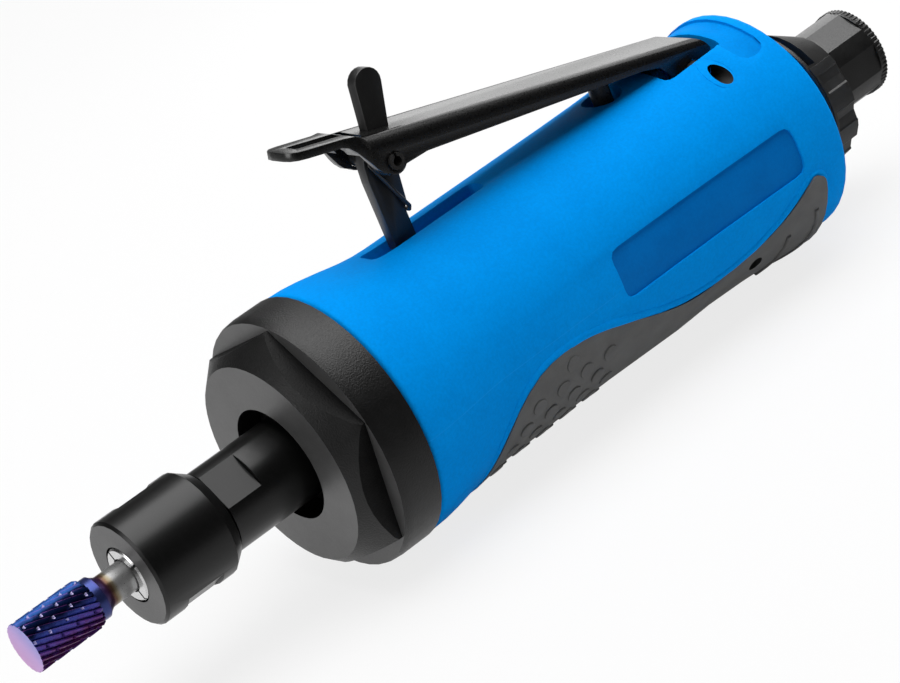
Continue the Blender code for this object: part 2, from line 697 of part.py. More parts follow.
def housing_recesses():
    """Shallow bare panels on the near side and the hood, and the seat of the rubber sleeve."""
    outline = slab(PANEL_FRONT_X, PANEL_REAR_X, PANEL_LOW_Z, PANEL_HIGH_Z, PANEL_CORNER)
    side = prism("side_panel", outline, "Y", -REACH, 0.0)
    side_skin = skin("side_recess", PANEL_FRONT_X - PANEL_CORNER, PANEL_REAR_X + PANEL_CORNER, PANEL_DEPTH,
                     lambda x: REACH, 6)
    hood_half = HOOD_PANEL_SPAN / 2
    hood = prism("hood_panel", slab(HOOD_PANEL_X - HOOD_PANEL_WIDTH / 2, HOOD_PANEL_X + HOOD_PANEL_WIDTH / 2,
                                    -hood_half, hood_half, HOOD_PANEL_WIDTH / 2), "Z", 0.0, REACH)
    hood_skin = skin("hood_recess", HOOD_PANEL_X - HOOD_PANEL_WIDTH,
                     HOOD_PANEL_X + HOOD_PANEL_WIDTH / 2 + CLEARANCE, PANEL_DEPTH, lambda x: REACH, 3)
    seat = prism("sleeve_outline", sleeve_outline(CLEARANCE), "Y", -REACH, REACH)
    seat_skin = skin("sleeve_seat", SLEEVE_FRONT_X - CLEARANCE, SLEEVE_REAR_X + CLEARANCE,
                     SLEEVE_DEPTH + CLEARANCE, lambda x: REACH, SLEEVE_STATIONS)
    return [trim(side_skin, side), trim(hood_skin, hood), trim(seat_skin, seat)]


def sleeve_edge(x):
    """Height of the rubber's upper edge: up from the nose, over a crest, through a valley and up again."""
    if x < SLEEVE_CREST_X:
        fall = min((SLEEVE_CREST_X - x) / (SLEEVE_CREST_X - SLEEVE_FRONT_X), 1.0)
        return SLEEVE_CREST_Z + (SLEEVE_NOSE_Z - SLEEVE_CREST_Z) * fall ** SLEEVE_CURVE
    if x < SLEEVE_VALLEY_X:
        share = (x - SLEEVE_CREST_X) / (SLEEVE_VALLEY_X - SLEEVE_CREST_X)
        return eased(SLEEVE_CREST_Z, SLEEVE_VALLEY_Z, share)
    rise = (x - SLEEVE_VALLEY_X) / (SLEEVE_REAR_X - SLEEVE_CORNER - SLEEVE_VALLEY_X)
    return SLEEVE_VALLEY_Z + (SLEEVE_TAIL_Z - SLEEVE_VALLEY_Z) * rise ** SLEEVE_CURVE


def sleeve_outline(margin):
    """Side view of the rubber, grown by a margin."""
    top = []
    for x in stations(SLEEVE_FRONT_X, SLEEVE_REAR_X - SLEEVE_CORNER, SLEEVE_EDGE_STATIONS):
        slope = (sleeve_edge(x + WELD) - sleeve_edge(x - WELD)) / (2 * WELD)
        length = math.hypot(1.0, slope)
        top.append((x - margin * slope / length, sleeve_edge(x) + margin / length))
    corner_z = SLEEVE_TAIL_Z - SLEEVE_CORNER
    corner = arc((SLEEVE_REAR_X - SLEEVE_CORNER, corner_z), SLEEVE_CORNER + margin, 90, 0, 4)
    front = [(SLEEVE_REAR_X + margin, -REACH), (SLEEVE_FRONT_X - margin, -REACH)]
    return top[:-1] + corner + front


def sleeve_proud(x):
    """How far the rubber stands out: a wave for the fingers and a bumper at the tail."""
    wave = SLEEVE_SWELL * math.cos(math.tau * (x - SLEEVE_SWELL_X) / SLEEVE_SWELL_PITCH)
    bumper = SLEEVE_BUMPER * math.exp(-((x - SLEEVE_REAR_X) / SLEEVE_BUMPER_LENGTH) ** 2)
    return SLEEVE_PROUD + max(wave, 0.0) + bumper


def grip_sleeve():
    sleeve = skin("grip_sleeve", SLEEVE_FRONT_X, SLEEVE_REAR_X, SLEEVE_DEPTH, sleeve_proud, SLEEVE_STATIONS)
    return trim(sleeve, prism("sleeve_outline", sleeve_outline(0.0), "Y", -REACH, REACH))


def nose_cap():
    """Threaded cap with a wrench hexagon that clamps the front plate."""
    crown_x = CAP_FACE_X + CAP_CONE_LENGTH
    flange_x = crown_x + CAP_CROWN_LENGTH
    drop = CAP_FLANGE_RADIUS - CAP_CONE_RADIUS
    crown = (CAP_CROWN_LENGTH ** 2 + drop ** 2) / (2 * drop)
    sweep = math.degrees(math.asin(CAP_CROWN_LENGTH / crown))
    cap = turned("nose_cap", [
        (CAP_FACE_X, CAP_BORE_RADIUS),
        (CAP_FACE_X, CAP_FACE_RADIUS),
        *arc((flange_x, CAP_FLANGE_RADIUS - crown), crown, 90 + sweep, 90, 4),
        (CAP_BACK_X, CAP_FLANGE_RADIUS),
        (CAP_BACK_X, CAP_SKIRT_RADIUS),
        (CAP_SKIRT_X, CAP_SKIRT_RADIUS),
        (CAP_SKIRT_X, CUP_BORE_RADIUS),
        (CUP_X - CLEARANCE, CUP_BORE_RADIUS),
        (CUP_X - CLEARANCE, SEAL_RADIUS + CLEARANCE),
        (CAP_POCKET_X, SEAL_RADIUS + CLEARANCE),
        (CAP_POCKET_X, CAP_BORE_RADIUS),
    ], SEGMENTS)
    angles = [CAP_FLAT_ANGLE + 60 * number for number in range(6)]
    return cut(cap, *flats("cap_flat", angles, CAP_ACROSS_FLATS / 2, CAP_FACE_X - REACH,
                           CAP_FACE_X + CAP_FLAT_LENGTH))


def front_seal():
    return tube("front_seal", SEAL_X, SEAL_REAR_X, SEAL_RADIUS, SEAL_BORE, INNER_SEGMENTS)


def front_end_plate():
    floor_x = FRONT_PLATE_REAR_X - FRONT_WEB
    return turned("front_end_plate", [
        (CUP_X, FRONT_CUP_RADIUS),
        (CUP_REAR_X, FRONT_CUP_RADIUS),
        (CUP_REAR_X, MOTOR_RADIUS),
        (FRONT_PLATE_REAR_X, MOTOR_RADIUS),
        (FRONT_PLATE_REAR_X, FRONT_BEARING_BORE),
        (floor_x, FRONT_BEARING_BORE),
        (floor_x, FRONT_POCKET_RADIUS),
        (CUP_X, FRONT_POCKET_RADIUS),
    ], INNER_SEGMENTS)


def bearing_outer(name, x, width, radius, bore):
    """Outer race with its two shields."""
    land = radius - RACE_SHARE * (radius - bore)
    lip = bore + RACE_SHARE * (radius - bore) + CLEARANCE
    rear = x + width
    return turned(name, [
        (x, radius), (rear, radius), (rear, lip), (rear - SHIELD_THICKNESS, lip),
        (rear - SHIELD_THICKNESS, land), (x + SHIELD_THICKNESS, land), (x + SHIELD_THICKNESS, lip), (x, lip),
    ], INNER_SEGMENTS)


def bearing_inner(name, x, width, radius, bore):
    return tube(name, x, x + width, bore + RACE_SHARE * (radius - bore), bore, INNER_SEGMENTS)


def wave_washer():
    """Thin waved ring that loads the front bearing."""
    outer = FRONT_BEARING_RADIUS - CLEARANCE / 2
    inner = outer - SPACER_WALL
    middle = FRONT_BEARING_X - CLEARANCE - WASHER_WAVE - WASHER_THICKNESS / 2
    shape = bmesh.new()
    loops = []
    for step in range(INNER_SEGMENTS):
        turn = math.tau * step / INNER_SEGMENTS
        x = middle + WASHER_WAVE * math.cos(WASHER_WAVES * turn)
        corners = [(x - WASHER_THICKNESS / 2, inner), (x - WASHER_THICKNESS / 2, outer),
                   (x + WASHER_THICKNESS / 2, outer), (x + WASHER_THICKNESS / 2, inner)]
        loops.append([shape.verts.new((place, radius * math.sin(turn), radius * math.cos(turn)))
                      for place, radius in corners])
    for near, far in zip(loops, loops[1:] + loops[:1]):
        for corner in range(4):
            following = (corner + 1) % 4
            shape.faces.new((near[corner], near[following], far[following], far[corner]))
    return finished("wave_washer", shape)


def bearing_spacer():
    washer_x = FRONT_BEARING_X - CLEARANCE - 2 * WASHER_WAVE - WASHER_THICKNESS
    outer = FRONT_BEARING_RADIUS - CLEARANCE / 2
    return tube("bearing_spacer", CUP_X, washer_x - CLEARANCE, outer, outer - SPACER_WALL, INNER_SEGMENTS)


def spindle():
    """One-piece shaft: threaded nose with a collet socket, wrench flats, journals and the rotor's seat."""
    body_x = NUT_REAR_X + GROOVE_SHOWN
    tail_x = REAR_PLATE_X - CLEARANCE
    taper_x = COLLET_REAR_X - COLLET_TAIL_LENGTH
    socket_end = COLLET_REAR_X + CLEARANCE
    shank_end = COLLET_X + SHANK_GRIP_LENGTH + SHANK_ROOM
    shaft = turned("spindle", [
        (SPINDLE_X, COLLET_BODY_RADIUS + CLEARANCE),
        (SPINDLE_X, THREAD_RADIUS - THREAD_GAP),
        (SPINDLE_X + THREAD_GAP, THREAD_RADIUS),
        (body_x - GROOVE_LENGTH, THREAD_RADIUS),
        (body_x - GROOVE_LENGTH, GROOVE_RADIUS),
        (body_x, GROOVE_RADIUS),
        (body_x, SPINDLE_RADIUS),
        (FRONT_BEARING_X - CLEARANCE, SPINDLE_RADIUS),
        (FRONT_BEARING_X - CLEARANCE, JOURNAL_RADIUS),
        (LINER_X, JOURNAL_RADIUS),
        (LINER_X, SPINDLE_CORE_RADIUS),
        (tail_x, SPINDLE_CORE_RADIUS),
        (tail_x, TAIL_JOURNAL_RADIUS),
        (REAR_PLATE_REAR_X - CLEARANCE, TAIL_JOURNAL_RADIUS),
        (REAR_PLATE_REAR_X - CLEARANCE, 0.0),
        (shank_end, 0.0),
        (shank_end, SHANK_RADIUS + THREAD_GAP),
        (socket_end, SHANK_RADIUS + THREAD_GAP),
        (socket_end, COLLET_TAIL_RADIUS + CLEARANCE),
        (taper_x, COLLET_BODY_RADIUS + CLEARANCE),
    ])
    angles = (SPINDLE_FLAT_ANGLE, SPINDLE_FLAT_ANGLE + 180)
    return cut(shaft, *flats("spindle_flat", angles, SPINDLE_ACROSS_FLATS / 2, body_x - GROOVE_LENGTH / 2,
                             body_x + SPINDLE_FLAT_LENGTH))


def collet():
    """Spring collet, slit from the front."""
    cone_end = NUT_THREAD_X
    taper_x = COLLET_REAR_X - COLLET_TAIL_LENGTH
    bore = SHANK_RADIUS + CLEARANCE
    sleeve = turned("collet", [
        (COLLET_X, bore),
        (COLLET_X, COLLET_MOUTH_RADIUS - COLLET_RIM),
        (COLLET_X + COLLET_RIM, COLLET_MOUTH_RADIUS),
        (NUT_CONE_X, COLLET_MOUTH_RADIUS),
        (cone_end, COLLET_BODY_RADIUS),
        (taper_x, COLLET_BODY_RADIUS),
        (COLLET_REAR_X, COLLET_TAIL_RADIUS),
        (COLLET_REAR_X, bore),
    ])
    half = COLLET_SLIT_WIDTH / 2
    outline = [(-half, 0.0), (half, 0.0), (half, REACH), (-half, REACH)]
    slits = [spun(prism("slit", outline, "X", COLLET_X - REACH, COLLET_X + COLLET_SLIT_LENGTH),
                  NUT_FLAT_ANGLE + 360 * number / COLLET_SLITS) for number in range(COLLET_SLITS)]
    return cut(sleeve, *slits)


def collet_nut():
    mouth = COLLET_MOUTH_RADIUS + CLEARANCE
    cone = COLLET_BODY_RADIUS + CLEARANCE
    thread = THREAD_RADIUS + THREAD_GAP
    nut = turned("collet_nut", [
        (NUT_X, mouth),
        (NUT_X, NUT_RADIUS - NUT_FRONT_CHAMFER),
        (NUT_X + NUT_FRONT_CHAMFER, NUT_RADIUS),
        (NUT_REAR_X - NUT_REAR_CHAMFER, NUT_RADIUS),
        (NUT_REAR_X, NUT_REAR_RADIUS),
        (NUT_REAR_X, thread),
        (NUT_THREAD_X, thread),
        (NUT_THREAD_X, cone),
        (NUT_CONE_X, mouth),
    ])
    flat_x = NUT_X + NUT_FLAT_SETBACK
    angles = (NUT_FLAT_ANGLE, NUT_FLAT_ANGLE + 180)
    return cut(nut, *flats("nut_flat", angles, NUT_ACROSS_FLATS / 2, flat_x, flat_x + NUT_FLAT_LENGTH))


def burr_section(x, turn, tip, root):
    """Cross-section with one tip and one root for each tooth."""
    points = []
    for tooth in range(BURR_TEETH):
        for share, radius in ((0.0, tip), (BURR_TOOTH_LEAN, root)):
            angle = turn + math.tau * (tooth + share) / BURR_TEETH
            points.append((x, radius * math.sin(angle), radius * math.cos(angle)))
    return points


def burr():
    """Cylindrical rotary burr with helical teeth on a plain shank."""
    neck_x = COLLET_X - SHANK_SHOWN
    collar_x = neck_x - BURR_NECK_LENGTH
    head_x = collar_x - BURR_COLLAR_LENGTH
    face_x = head_x - BURR_HEAD_LENGTH
    root = BURR_HEAD_RADIUS - BURR_TOOTH_DEPTH
    helix = math.radians(BURR_HELIX_TURN)
    sections = [burr_section(x, helix * step / BURR_STATIONS, BURR_HEAD_RADIUS, root)
                for step, x in enumerate(stations(face_x, head_x - BURR_RUN_OUT, BURR_STATIONS))]
    for x, radius in ((head_x, root), (head_x, BURR_COLLAR_RADIUS - CLEARANCE),
                      (collar_x, BURR_COLLAR_RADIUS), (neck_x, SHANK_RADIUS),
                      (COLLET_X + SHANK_GRIP_LENGTH, SHANK_RADIUS)):
        sections.append(burr_section(x, helix, radius, radius))
    return loft("burr", sections)


def rotor():
    inner = SPINDLE_CORE_RADIUS + CLEARANCE
    start = LINER_X + ROTOR_END_GAP
    end = LINER_REAR_X - ROTOR_END_GAP
    body = tube("rotor", start, end, ROTOR_RADIUS, inner, INNER_SEGMENTS)
    half = BLADE_THICKNESS / 2 + CLEARANCE
    outline = [(-half, BLADE_SLOT_RADIUS), (half, BLADE_SLOT_RADIUS), (half, REACH), (-half, REACH)]
    return cut(body, *[spun(prism("slot", outline, "X", LINER_X - REACH, LINER_REAR_X + REACH),
                            360 * number / BLADES) for number in range(BLADES)])


def rotor_blade(number):
    half = BLADE_THICKNESS / 2
    low = BLADE_SLOT_RADIUS + CLEARANCE
    high = ROTOR_RADIUS - CLEARANCE
    blade = prism(f"rotor_blade_{number + 1}", [(-half, low), (half, low), (half, high), (-half, high)], "X",
                  LINER_X + ROTOR_END_GAP, LINER_REAR_X - ROTOR_END_GAP)
    return spun(blade, 360 * number / BLADES)


def dowel_height():
    """Middle of the liner's thick wall, above the eccentric bore."""
    return (MOTOR_RADIUS + LINER_BORE_RADIUS - LINER_OFFSET) / 2


def dowel_hole(start, end):
    hole = rod("dowel_hole", start, end, DOWEL_RADIUS + CLEARANCE, SMALL_SEGMENTS)
    hole.data.transform(Matrix.Translation((0.0, 0.0, dowel_height())))
    return hole


def cylinder_liner():
    """Motor cylinder with its bore set low, so that the blades open a crescent of air above the rotor."""
    liner = rod("cylinder_liner", LINER_X, LINER_REAR_X, MOTOR_RADIUS, INNER_SEGMENTS)
    bore = rod("liner_bore", LINER_X - REACH, LINER_REAR_X + REACH, LINER_BORE_RADIUS, INNER_SEGMENTS)
    bore.data.transform(Matrix.Translation((0.0, 0.0, -LINER_OFFSET)))
    middle = (LINER_X + LINER_REAR_X) / 2
    ports = [spun(upright(rod("port", 0.0, REACH, LINER_PORT_RADIUS, SMALL_SEGMENTS),
                          middle + LINER_PORT_PITCH * (number - (LINER_PORTS - 1) / 2)), 180)
             for number in range(LINER_PORTS)]
    half = DOWEL_LENGTH / 2 + CLEARANCE
    return cut(liner, bore, *ports, dowel_hole(LINER_REAR_X - half, LINER_REAR_X + half))


def cylinder_pin():
    middle = (LINER_REAR_X + REAR_PLATE_X) / 2
    half = DOWEL_LENGTH / 2
    pin = rod("cylinder_pin", middle - half, middle + half, DOWEL_RADIUS, SMALL_SEGMENTS)
    pin.data.transform(Matrix.Translation((0.0, 0.0, dowel_height())))
    return pin


def rear_end_plate():
    floor_x = REAR_PLATE_X + REAR_WEB
    plate = turned("rear_end_plate", [
        (REAR_PLATE_X, MOTOR_RADIUS),
        (REAR_PLATE_REAR_X, MOTOR_RADIUS),
        (REAR_PLATE_REAR_X, REAR_POCKET_RADIUS),
        (floor_x, REAR_POCKET_RADIUS),
        (floor_x, REAR_BEARING_BORE),
        (REAR_PLATE_X, REAR_BEARING_BORE),
    ], INNER_SEGMENTS)
    half = DOWEL_LENGTH / 2 + CLEARANCE
    return cut(plate, dowel_hole(REAR_PLATE_X - half, REAR_PLATE_X + half))


def lever_point(ahead, rise):
    """Place in the side view of a point given along and square to the lever, from its pivot."""
    return (LEVER_PIVOT_X - ahead * math.cos(LEVER_TILT) + rise * math.sin(LEVER_TILT),
            LEVER_PIVOT_Z + ahead * math.sin(LEVER_TILT) + rise * math.cos(LEVER_TILT))


def lever_side():
    """Side view of the lever as (-ahead, rise): pivot ear, flange, latch ear and tongue."""
    tongue = LEVER_TIP - TONGUE_LENGTH
    bend = -tongue - TONGUE_BEND
    crest = LEVER_TOP + TONGUE_RISE
    latch_ear = arc((-LATCH_PIN_AHEAD, LATCH_PIN_RISE), LATCH_EAR_RADIUS, 230, 335, 6)
    heel_x, heel_z = latch_ear[0]
    front = -LATCH_PIN_AHEAD - FLANGE_REACH
    sweep = [(heel_x + (front - heel_x) * share, eased(heel_z, crest - TONGUE_DEPTH, share))
             for share in (1.0, 0.85, 0.7, 0.5, 0.3, 0.15)]
    pivot_ear = arc((0.0, 0.0), PIVOT_EAR_RADIUS, 215, 360, 6)
    return [
        (LEVER_REAR - LEVER_REAR_SLOPE, LEVER_TOP),
        (-tongue, LEVER_TOP),
        (bend, crest),
        (-LEVER_TIP, crest),
        (-LEVER_TIP, crest - TONGUE_DEPTH),
        *sweep,
        *latch_ear,
        (LEVER_FRONT_SETBACK - LATCH_PIN_AHEAD, LEVER_FRONT_RISE),
        (-LEVER_KNEE, LEVER_KNEE_RISE),
        (-POCKET_AHEAD, LEVER_KNEE_RISE - CLEARANCE),
        *pivot_ear,
        (LEVER_REAR, LEVER_KNEE_RISE),
        (LEVER_REAR, LEVER_TOP - LEVER_REAR_DROP),
    ]


def lever_plan():
    """Top view of the lever as (-ahead, y)."""
    tongue = LEVER_TIP - TONGUE_LENGTH
    half = LEVER_HALF_WIDTH
    narrow = TONGUE_HALF_WIDTH
    return rounded([
        (LEVER_REAR, half, LEVER_SHEET),
        (-tongue, half, LEVER_SHEET),
        (-tongue - TONGUE_TAPER, narrow, LEVER_SHEET),
        (-LEVER_TIP, narrow, TONGUE_CORNER),
        (-LEVER_TIP, -narrow, TONGUE_CORNER),
        (-tongue - TONGUE_TAPER, -narrow, LEVER_SHEET),
        (-tongue, -half, LEVER_SHEET),
        (LEVER_REAR, -half, LEVER_SHEET),
    ])


def throttle_lever():
    """Folded sheet lever: a channel with ears for both pins and a tongue slotted for the latch."""
    lever = trim(prism("throttle_lever", lever_side(), "Y", -REACH, REACH),
                 prism("plan", lever_plan(), "Z", -REACH, REACH))
    shape = bmesh.new()
    shape.from_mesh(lever.data)
    root = TONGUE_LENGTH - LEVER_TIP
    top = [edge for edge in shape.edges
           if all(abs(corner.co.z - LEVER_TOP) < WELD for corner in edge.verts)
           and any(corner.co.x > root + WELD for corner in edge.verts)
           and edge.calc_face_angle(0.0) > 0.1]
    bmesh.ops.bevel(shape, geom=top, offset=LEVER_BEND, offset_type="OFFSET", segments=2, profile=0.5,
                    affect="EDGES", clamp_overlap=True)
    bmesh.ops.recalc_face_normals(shape, faces=shape.faces)
    shape.to_mesh(lever.data)
    shape.free()
    cut(lever, *lever_cuts())
    lever.location = (LEVER_PIVOT_X, 0.0, LEVER_PIVOT_Z)
    lever.rotation_euler = (0.0, LEVER_TILT, 0.0)
    return lever


def lever_cuts():
    """Inside of the channel, both pin holes, the window round the latch and the slot for its tab."""
    inside = LEVER_HALF_WIDTH - LEVER_SHEET
    web = LEVER_TOP - LEVER_SHEET
    front = LEVER_TIP - TONGUE_LENGTH + LEVER_SHEET
    reach = math.hypot(LATCH_TAB_LEAN, LATCH_TAB_HEIGHT) + LATCH_TAB_RADIUS + CLEARANCE
    tab_half = LATCH_THICKNESS / 2 + LATCH_SLIDE_GAP
    window = slab(-LATCH_PIN_AHEAD - LATCH_WINDOW_AHEAD, -LATCH_PIN_AHEAD + LATCH_WINDOW_BEHIND,
                  -LATCH_WINDOW_HALF_WIDTH, LATCH_WINDOW_HALF_WIDTH, LEVER_SHEET)
    slot = slab(-LATCH_PIN_AHEAD - reach, -LATCH_PIN_AHEAD, -tab_half, tab_half, LATCH_SLIDE_GAP)
    return [
        prism("channel", slab(-front, REACH, -inside, inside, 0.0), "Z", -REACH, web),
        across(rod("pivot", -REACH, REACH, PIVOT_PIN_RADIUS + CLEARANCE, SMALL_SEGMENTS), 0.0, 0.0),
        across(rod("pin", -REACH, REACH, LATCH_PIN_RADIUS + PRESS_GAP, SMALL_SEGMENTS), -LATCH_PIN_AHEAD,
               LATCH_PIN_RISE),
        prism("window", window, "Z", LATCH_PIN_RISE, REACH),
        prism("tab_slot", slot, "Z", LATCH_PIN_RISE, REACH),
    ]


def lever_pivot_pin():
    half = PIVOT_PIN_LENGTH / 2
    return across(rod("lever_pivot_pin", -half, half, PIVOT_PIN_RADIUS, SMALL_SEGMENTS), LEVER_PIVOT_X,
                  LEVER_PIVOT_Z)


def latch_pin():
    """Hollow split pin through the lever's front ears."""
    half = LEVER_HALF_WIDTH + LATCH_PIN_PROUD
    pin = tube("latch_pin", -half, half, LATCH_PIN_RADIUS, LATCH_PIN_BORE, SMALL_SEGMENTS)
    slit = LATCH_PIN_SLIT / 2
    cut(pin, prism("slit", [(-slit, 0.0), (slit, 0.0), (slit, REACH), (-slit, REACH)], "X", -REACH, REACH))
    return set_origin(across(pin, LATCH_PIN_X, LATCH_PIN_Z), (LATCH_PIN_X, 0.0, LATCH_PIN_Z))


def latch_outline():
    """Side view of the latch round its pin: finger tab above, stop leg below with a step for the spring."""
    front = LATCH_LEG_FRONT
    rear = LATCH_LEG_REAR
    step = rear + LATCH_STEP
    tab = arc((LATCH_TAB_LEAN, LATCH_TAB_HEIGHT), LATCH_TAB_RADIUS, 162, -16, 10)
    leg = rounded([
        (LATCH_HUB_REAR, 0.0, 0.0),
        (step, -LATCH_STEP_DROP, LATCH_STEP),
        (rear, -LATCH_STEP_DROP - LATCH_STEP / 2, LATCH_STEP / 4),
        (rear, -LATCH_LEG_LENGTH, LATCH_STEP),
        (-front, -LATCH_LEG_LENGTH, LATCH_STEP),
        (-front, -LATCH_HUB_FRONT, LATCH_HUB_FRONT),
        (-LATCH_HUB_FRONT, 0.0, 0.0),
        (-LATCH_HUB_FRONT / 2, LATCH_TAB_HEIGHT / 3, LATCH_HUB_FRONT),
    ], 3)
    return tab + leg


def safety_latch():
    half = LATCH_THICKNESS / 2
    latch = prism("safety_latch", latch_outline(), "Y", -half, half)
    cut(latch, across(rod("pin_hole", -REACH, REACH, LATCH_PIN_RADIUS + CLEARANCE, SMALL_SEGMENTS), 0.0, 0.0))
    latch.location = (LATCH_PIN_X, 0.0, LATCH_PIN_Z)
    return latch


def latch_spring():
    """Torsion spring on the latch's pin; its leg hooks round the back of the stop leg."""
    leg_y = -LATCH_THICKNESS / 2 - CLEARANCE - LATCH_SPRING_WIRE
    hook_x = LATCH_LEG_REAR + CLEARANCE + LATCH_SPRING_WIRE
    hook_z = -LATCH_STEP_DROP - LATCH_STEP - LATCH_SPRING_WIRE
    bend = 2 * LATCH_SPRING_WIRE
    coil_front = (-LATCH_SPRING_RADIUS, leg_y, 0.0)
    path = [(hook_x, LATCH_THICKNESS / 2, hook_z), (hook_x, leg_y + bend, hook_z),
            (hook_x - bend / 4, leg_y, hook_z + bend)]
    for share in (0.35, 0.7):
        path.append(tuple(a + (b - a) * share for a, b in zip(path[2], coil_front)))
    for step in range(CURL_POINTS * LATCH_SPRING_TURNS + 1):
        turn = math.tau * step / CURL_POINTS
        path.append((-LATCH_SPRING_RADIUS * math.cos(turn), leg_y - LATCH_SPRING_PITCH * step / CURL_POINTS,
                     LATCH_SPRING_RADIUS * math.sin(turn)))
    x, y, z = path[-1]
    path.append((x, y, z + LATCH_SPRING_TAIL))
    spring = wire("latch_spring", path, LATCH_SPRING_WIRE)
    spring.location = (LATCH_PIN_X, 0.0, LATCH_PIN_Z)
    return spring


def throttle_plunger():
    """Domed pin between the lever and the tip valve."""
    web_shift = (LEVER_TOP - LEVER_SHEET) * math.sin(LEVER_TILT)
    ahead = (LEVER_PIVOT_X - PLUNGER_X + web_shift) / math.cos(LEVER_TILT)
    low = TIP_STEM_RADIUS + CLEARANCE
    high = lever_point(ahead, LEVER_TOP - LEVER_SHEET)[1] - CLEARANCE
    waist = PLUNGER_RADIUS * 0.6
    return upright(turned("throttle_plunger", [
        (low, 0.0), (low + PLUNGER_DOME / 4, waist), (low + PLUNGER_DOME, PLUNGER_RADIUS),
        (high - PLUNGER_DOME, PLUNGER_RADIUS), (high - PLUNGER_DOME / 4, waist), (high, 0.0),
    ], SMALL_SEGMENTS), PLUNGER_X)


def plunger_seal():
    height = PLUNGER_HOLE_FLOOR + CLEARANCE + PLUNGER_SEAL_RADIUS
    return upright(ring("plunger_seal", height, PLUNGER_BORE + PLUNGER_SEAL_RADIUS, PLUNGER_SEAL_RADIUS,
                        SMALL_SEGMENTS), PLUNGER_X)


def plunger_bushing():
    low = PLUNGER_HOLE_FLOOR + 2 * CLEARANCE + 2 * PLUNGER_SEAL_RADIUS
    return upright(tube("plunger_bushing", low, low + PLUNGER_BUSHING_LENGTH, PLUNGER_HOLE_RADIUS - CLEARANCE,
                        PLUNGER_BORE, SMALL_SEGMENTS), PLUNGER_X)


def valve_seat():
    return tube("valve_seat", SEAT_X, SEAT_REAR_X, SEAT_RADIUS, SEAT_BORE, INNER_SEGMENTS)


def tip_valve():
    """Tilting valve: the plunger pushes its stem aside and its head rocks off the seat."""
    head_end = TIP_HEAD_X + TIP_HEAD_LENGTH
    valve = turned("tip_valve", [
        (TIP_STEM_END_X, 0.0),
        (TIP_STEM_END_X, TIP_STEM_RADIUS),
        (TIP_HEAD_X, TIP_STEM_RADIUS),
        (TIP_HEAD_X, TIP_HEAD_RADIUS),
        (head_end, TIP_HEAD_RADIUS),
        (head_end, TIP_SPIGOT_RADIUS),
        (head_end + TIP_SPIGOT_LENGTH, TIP_SPIGOT_RADIUS),
        (head_end + TIP_SPIGOT_LENGTH, 0.0),
    ], SMALL_SEGMENTS)
    return set_origin(valve, (TIP_HEAD_X, 0.0, TIP_HEAD_RADIUS))


def valve_spring():
    """Coil that closes the tip valve, between its head and the inlet bushing."""
    first = SPRING_X + VALVE_SPRING_WIRE
    travel = VALVE_SPRING_LENGTH - 2 * VALVE_SPRING_WIRE
    count = CURL_POINTS * VALVE_SPRING_TURNS
    path = []
    for step in range(count + 1):
        turn = math.tau * step / CURL_POINTS
        path.append((first + travel * step / count, VALVE_SPRING_RADIUS * math.sin(turn),
                     VALVE_SPRING_RADIUS * math.cos(turn)))
    return wire("valve_spring", path, VALVE_SPRING_WIRE)


def inlet_bushing():
    """Threaded inlet with a hexagon, a plain band and a socket for the hose fitting."""
    socket_x = INLET_END_X - INLET_SOCKET_DEPTH
    groove_x = HOUSING_REAR_X - INLET_SEAL_SETBACK
    groove_half = INLET_SEAL_RADIUS + CLEARANCE
    groove_floor = INLET_THREAD_RADIUS - 2 * INLET_SEAL_RADIUS - CLEARANCE
    bushing = turned("inlet_bushing", [
        (INLET_X, INLET_LIP_RADIUS),
        (INLET_X, INLET_THREAD_RADIUS),
        (groove_x - groove_half, INLET_THREAD_RADIUS),
        (groove_x - groove_half, groove_floor),
        (groove_x + groove_half, groove_floor),
        (groove_x + groove_half, INLET_THREAD_RADIUS),
        (INLET_HEX_X, INLET_THREAD_RADIUS),
        (INLET_HEX_X, INLET_RADIUS),
        (INLET_END_X - INLET_CHAMFER, INLET_RADIUS),
        (INLET_END_X, INLET_RADIUS - INLET_CHAMFER),
        (INLET_END_X, INLET_SOCKET_RADIUS),
        (socket_x, INLET_SOCKET_RADIUS),
        (socket_x, INLET_BORE_RADIUS),
        (INLET_X + INLET_LIP_LENGTH, INLET_BORE_RADIUS),
        (INLET_X + INLET_LIP_LENGTH, INLET_LIP_RADIUS),
    ])
    angles = [INLET_FLAT_ANGLE + 60 * number for number in range(6)]
    sides = flats("inlet_flat", angles, INLET_ACROSS_FLATS / 2, INLET_HEX_X - CLEARANCE, INLET_BAND_X)
    return cut(bushing, *sides)


def inlet_seal():
    return ring("inlet_seal", HOUSING_REAR_X - INLET_SEAL_SETBACK, INLET_THREAD_RADIUS - INLET_SEAL_RADIUS,
                INLET_SEAL_RADIUS, INNER_SEGMENTS, 6)


def inlet_screen():
    """Perforated disc at the bottom of the inlet socket."""
    x = INLET_END_X - INLET_SOCKET_DEPTH + CLEARANCE
    screen = rod("inlet_screen", x, x + SCREEN_THICKNESS, INLET_SOCKET_RADIUS - CLEARANCE, INNER_SEGMENTS)
    holes = [rod("hole", x - REACH, x + REACH, SCREEN_HOLE_RADIUS, 8)]
    for number in range(SCREEN_HOLES):
        hole = rod("hole", x - REACH, x + REACH, SCREEN_HOLE_RADIUS, 8)
        hole.data.transform(Matrix.Translation((0.0, 0.0, SCREEN_HOLE_CIRCLE)))
        holes.append(spun(hole, 360 * number / SCREEN_HOLES))
    return cut(screen, *holes)


def deflector_cone(x):
    """Radius of the deflector's cone at a place on the axis."""
    start = DEFLECTOR_X + DEFLECTOR_RIM
    front = DEFLECTOR_RADIUS - CLEARANCE
    return front + (DEFLECTOR_REAR_RADIUS - front) * (x - start) / (DEFLECTOR_REAR_X - start)


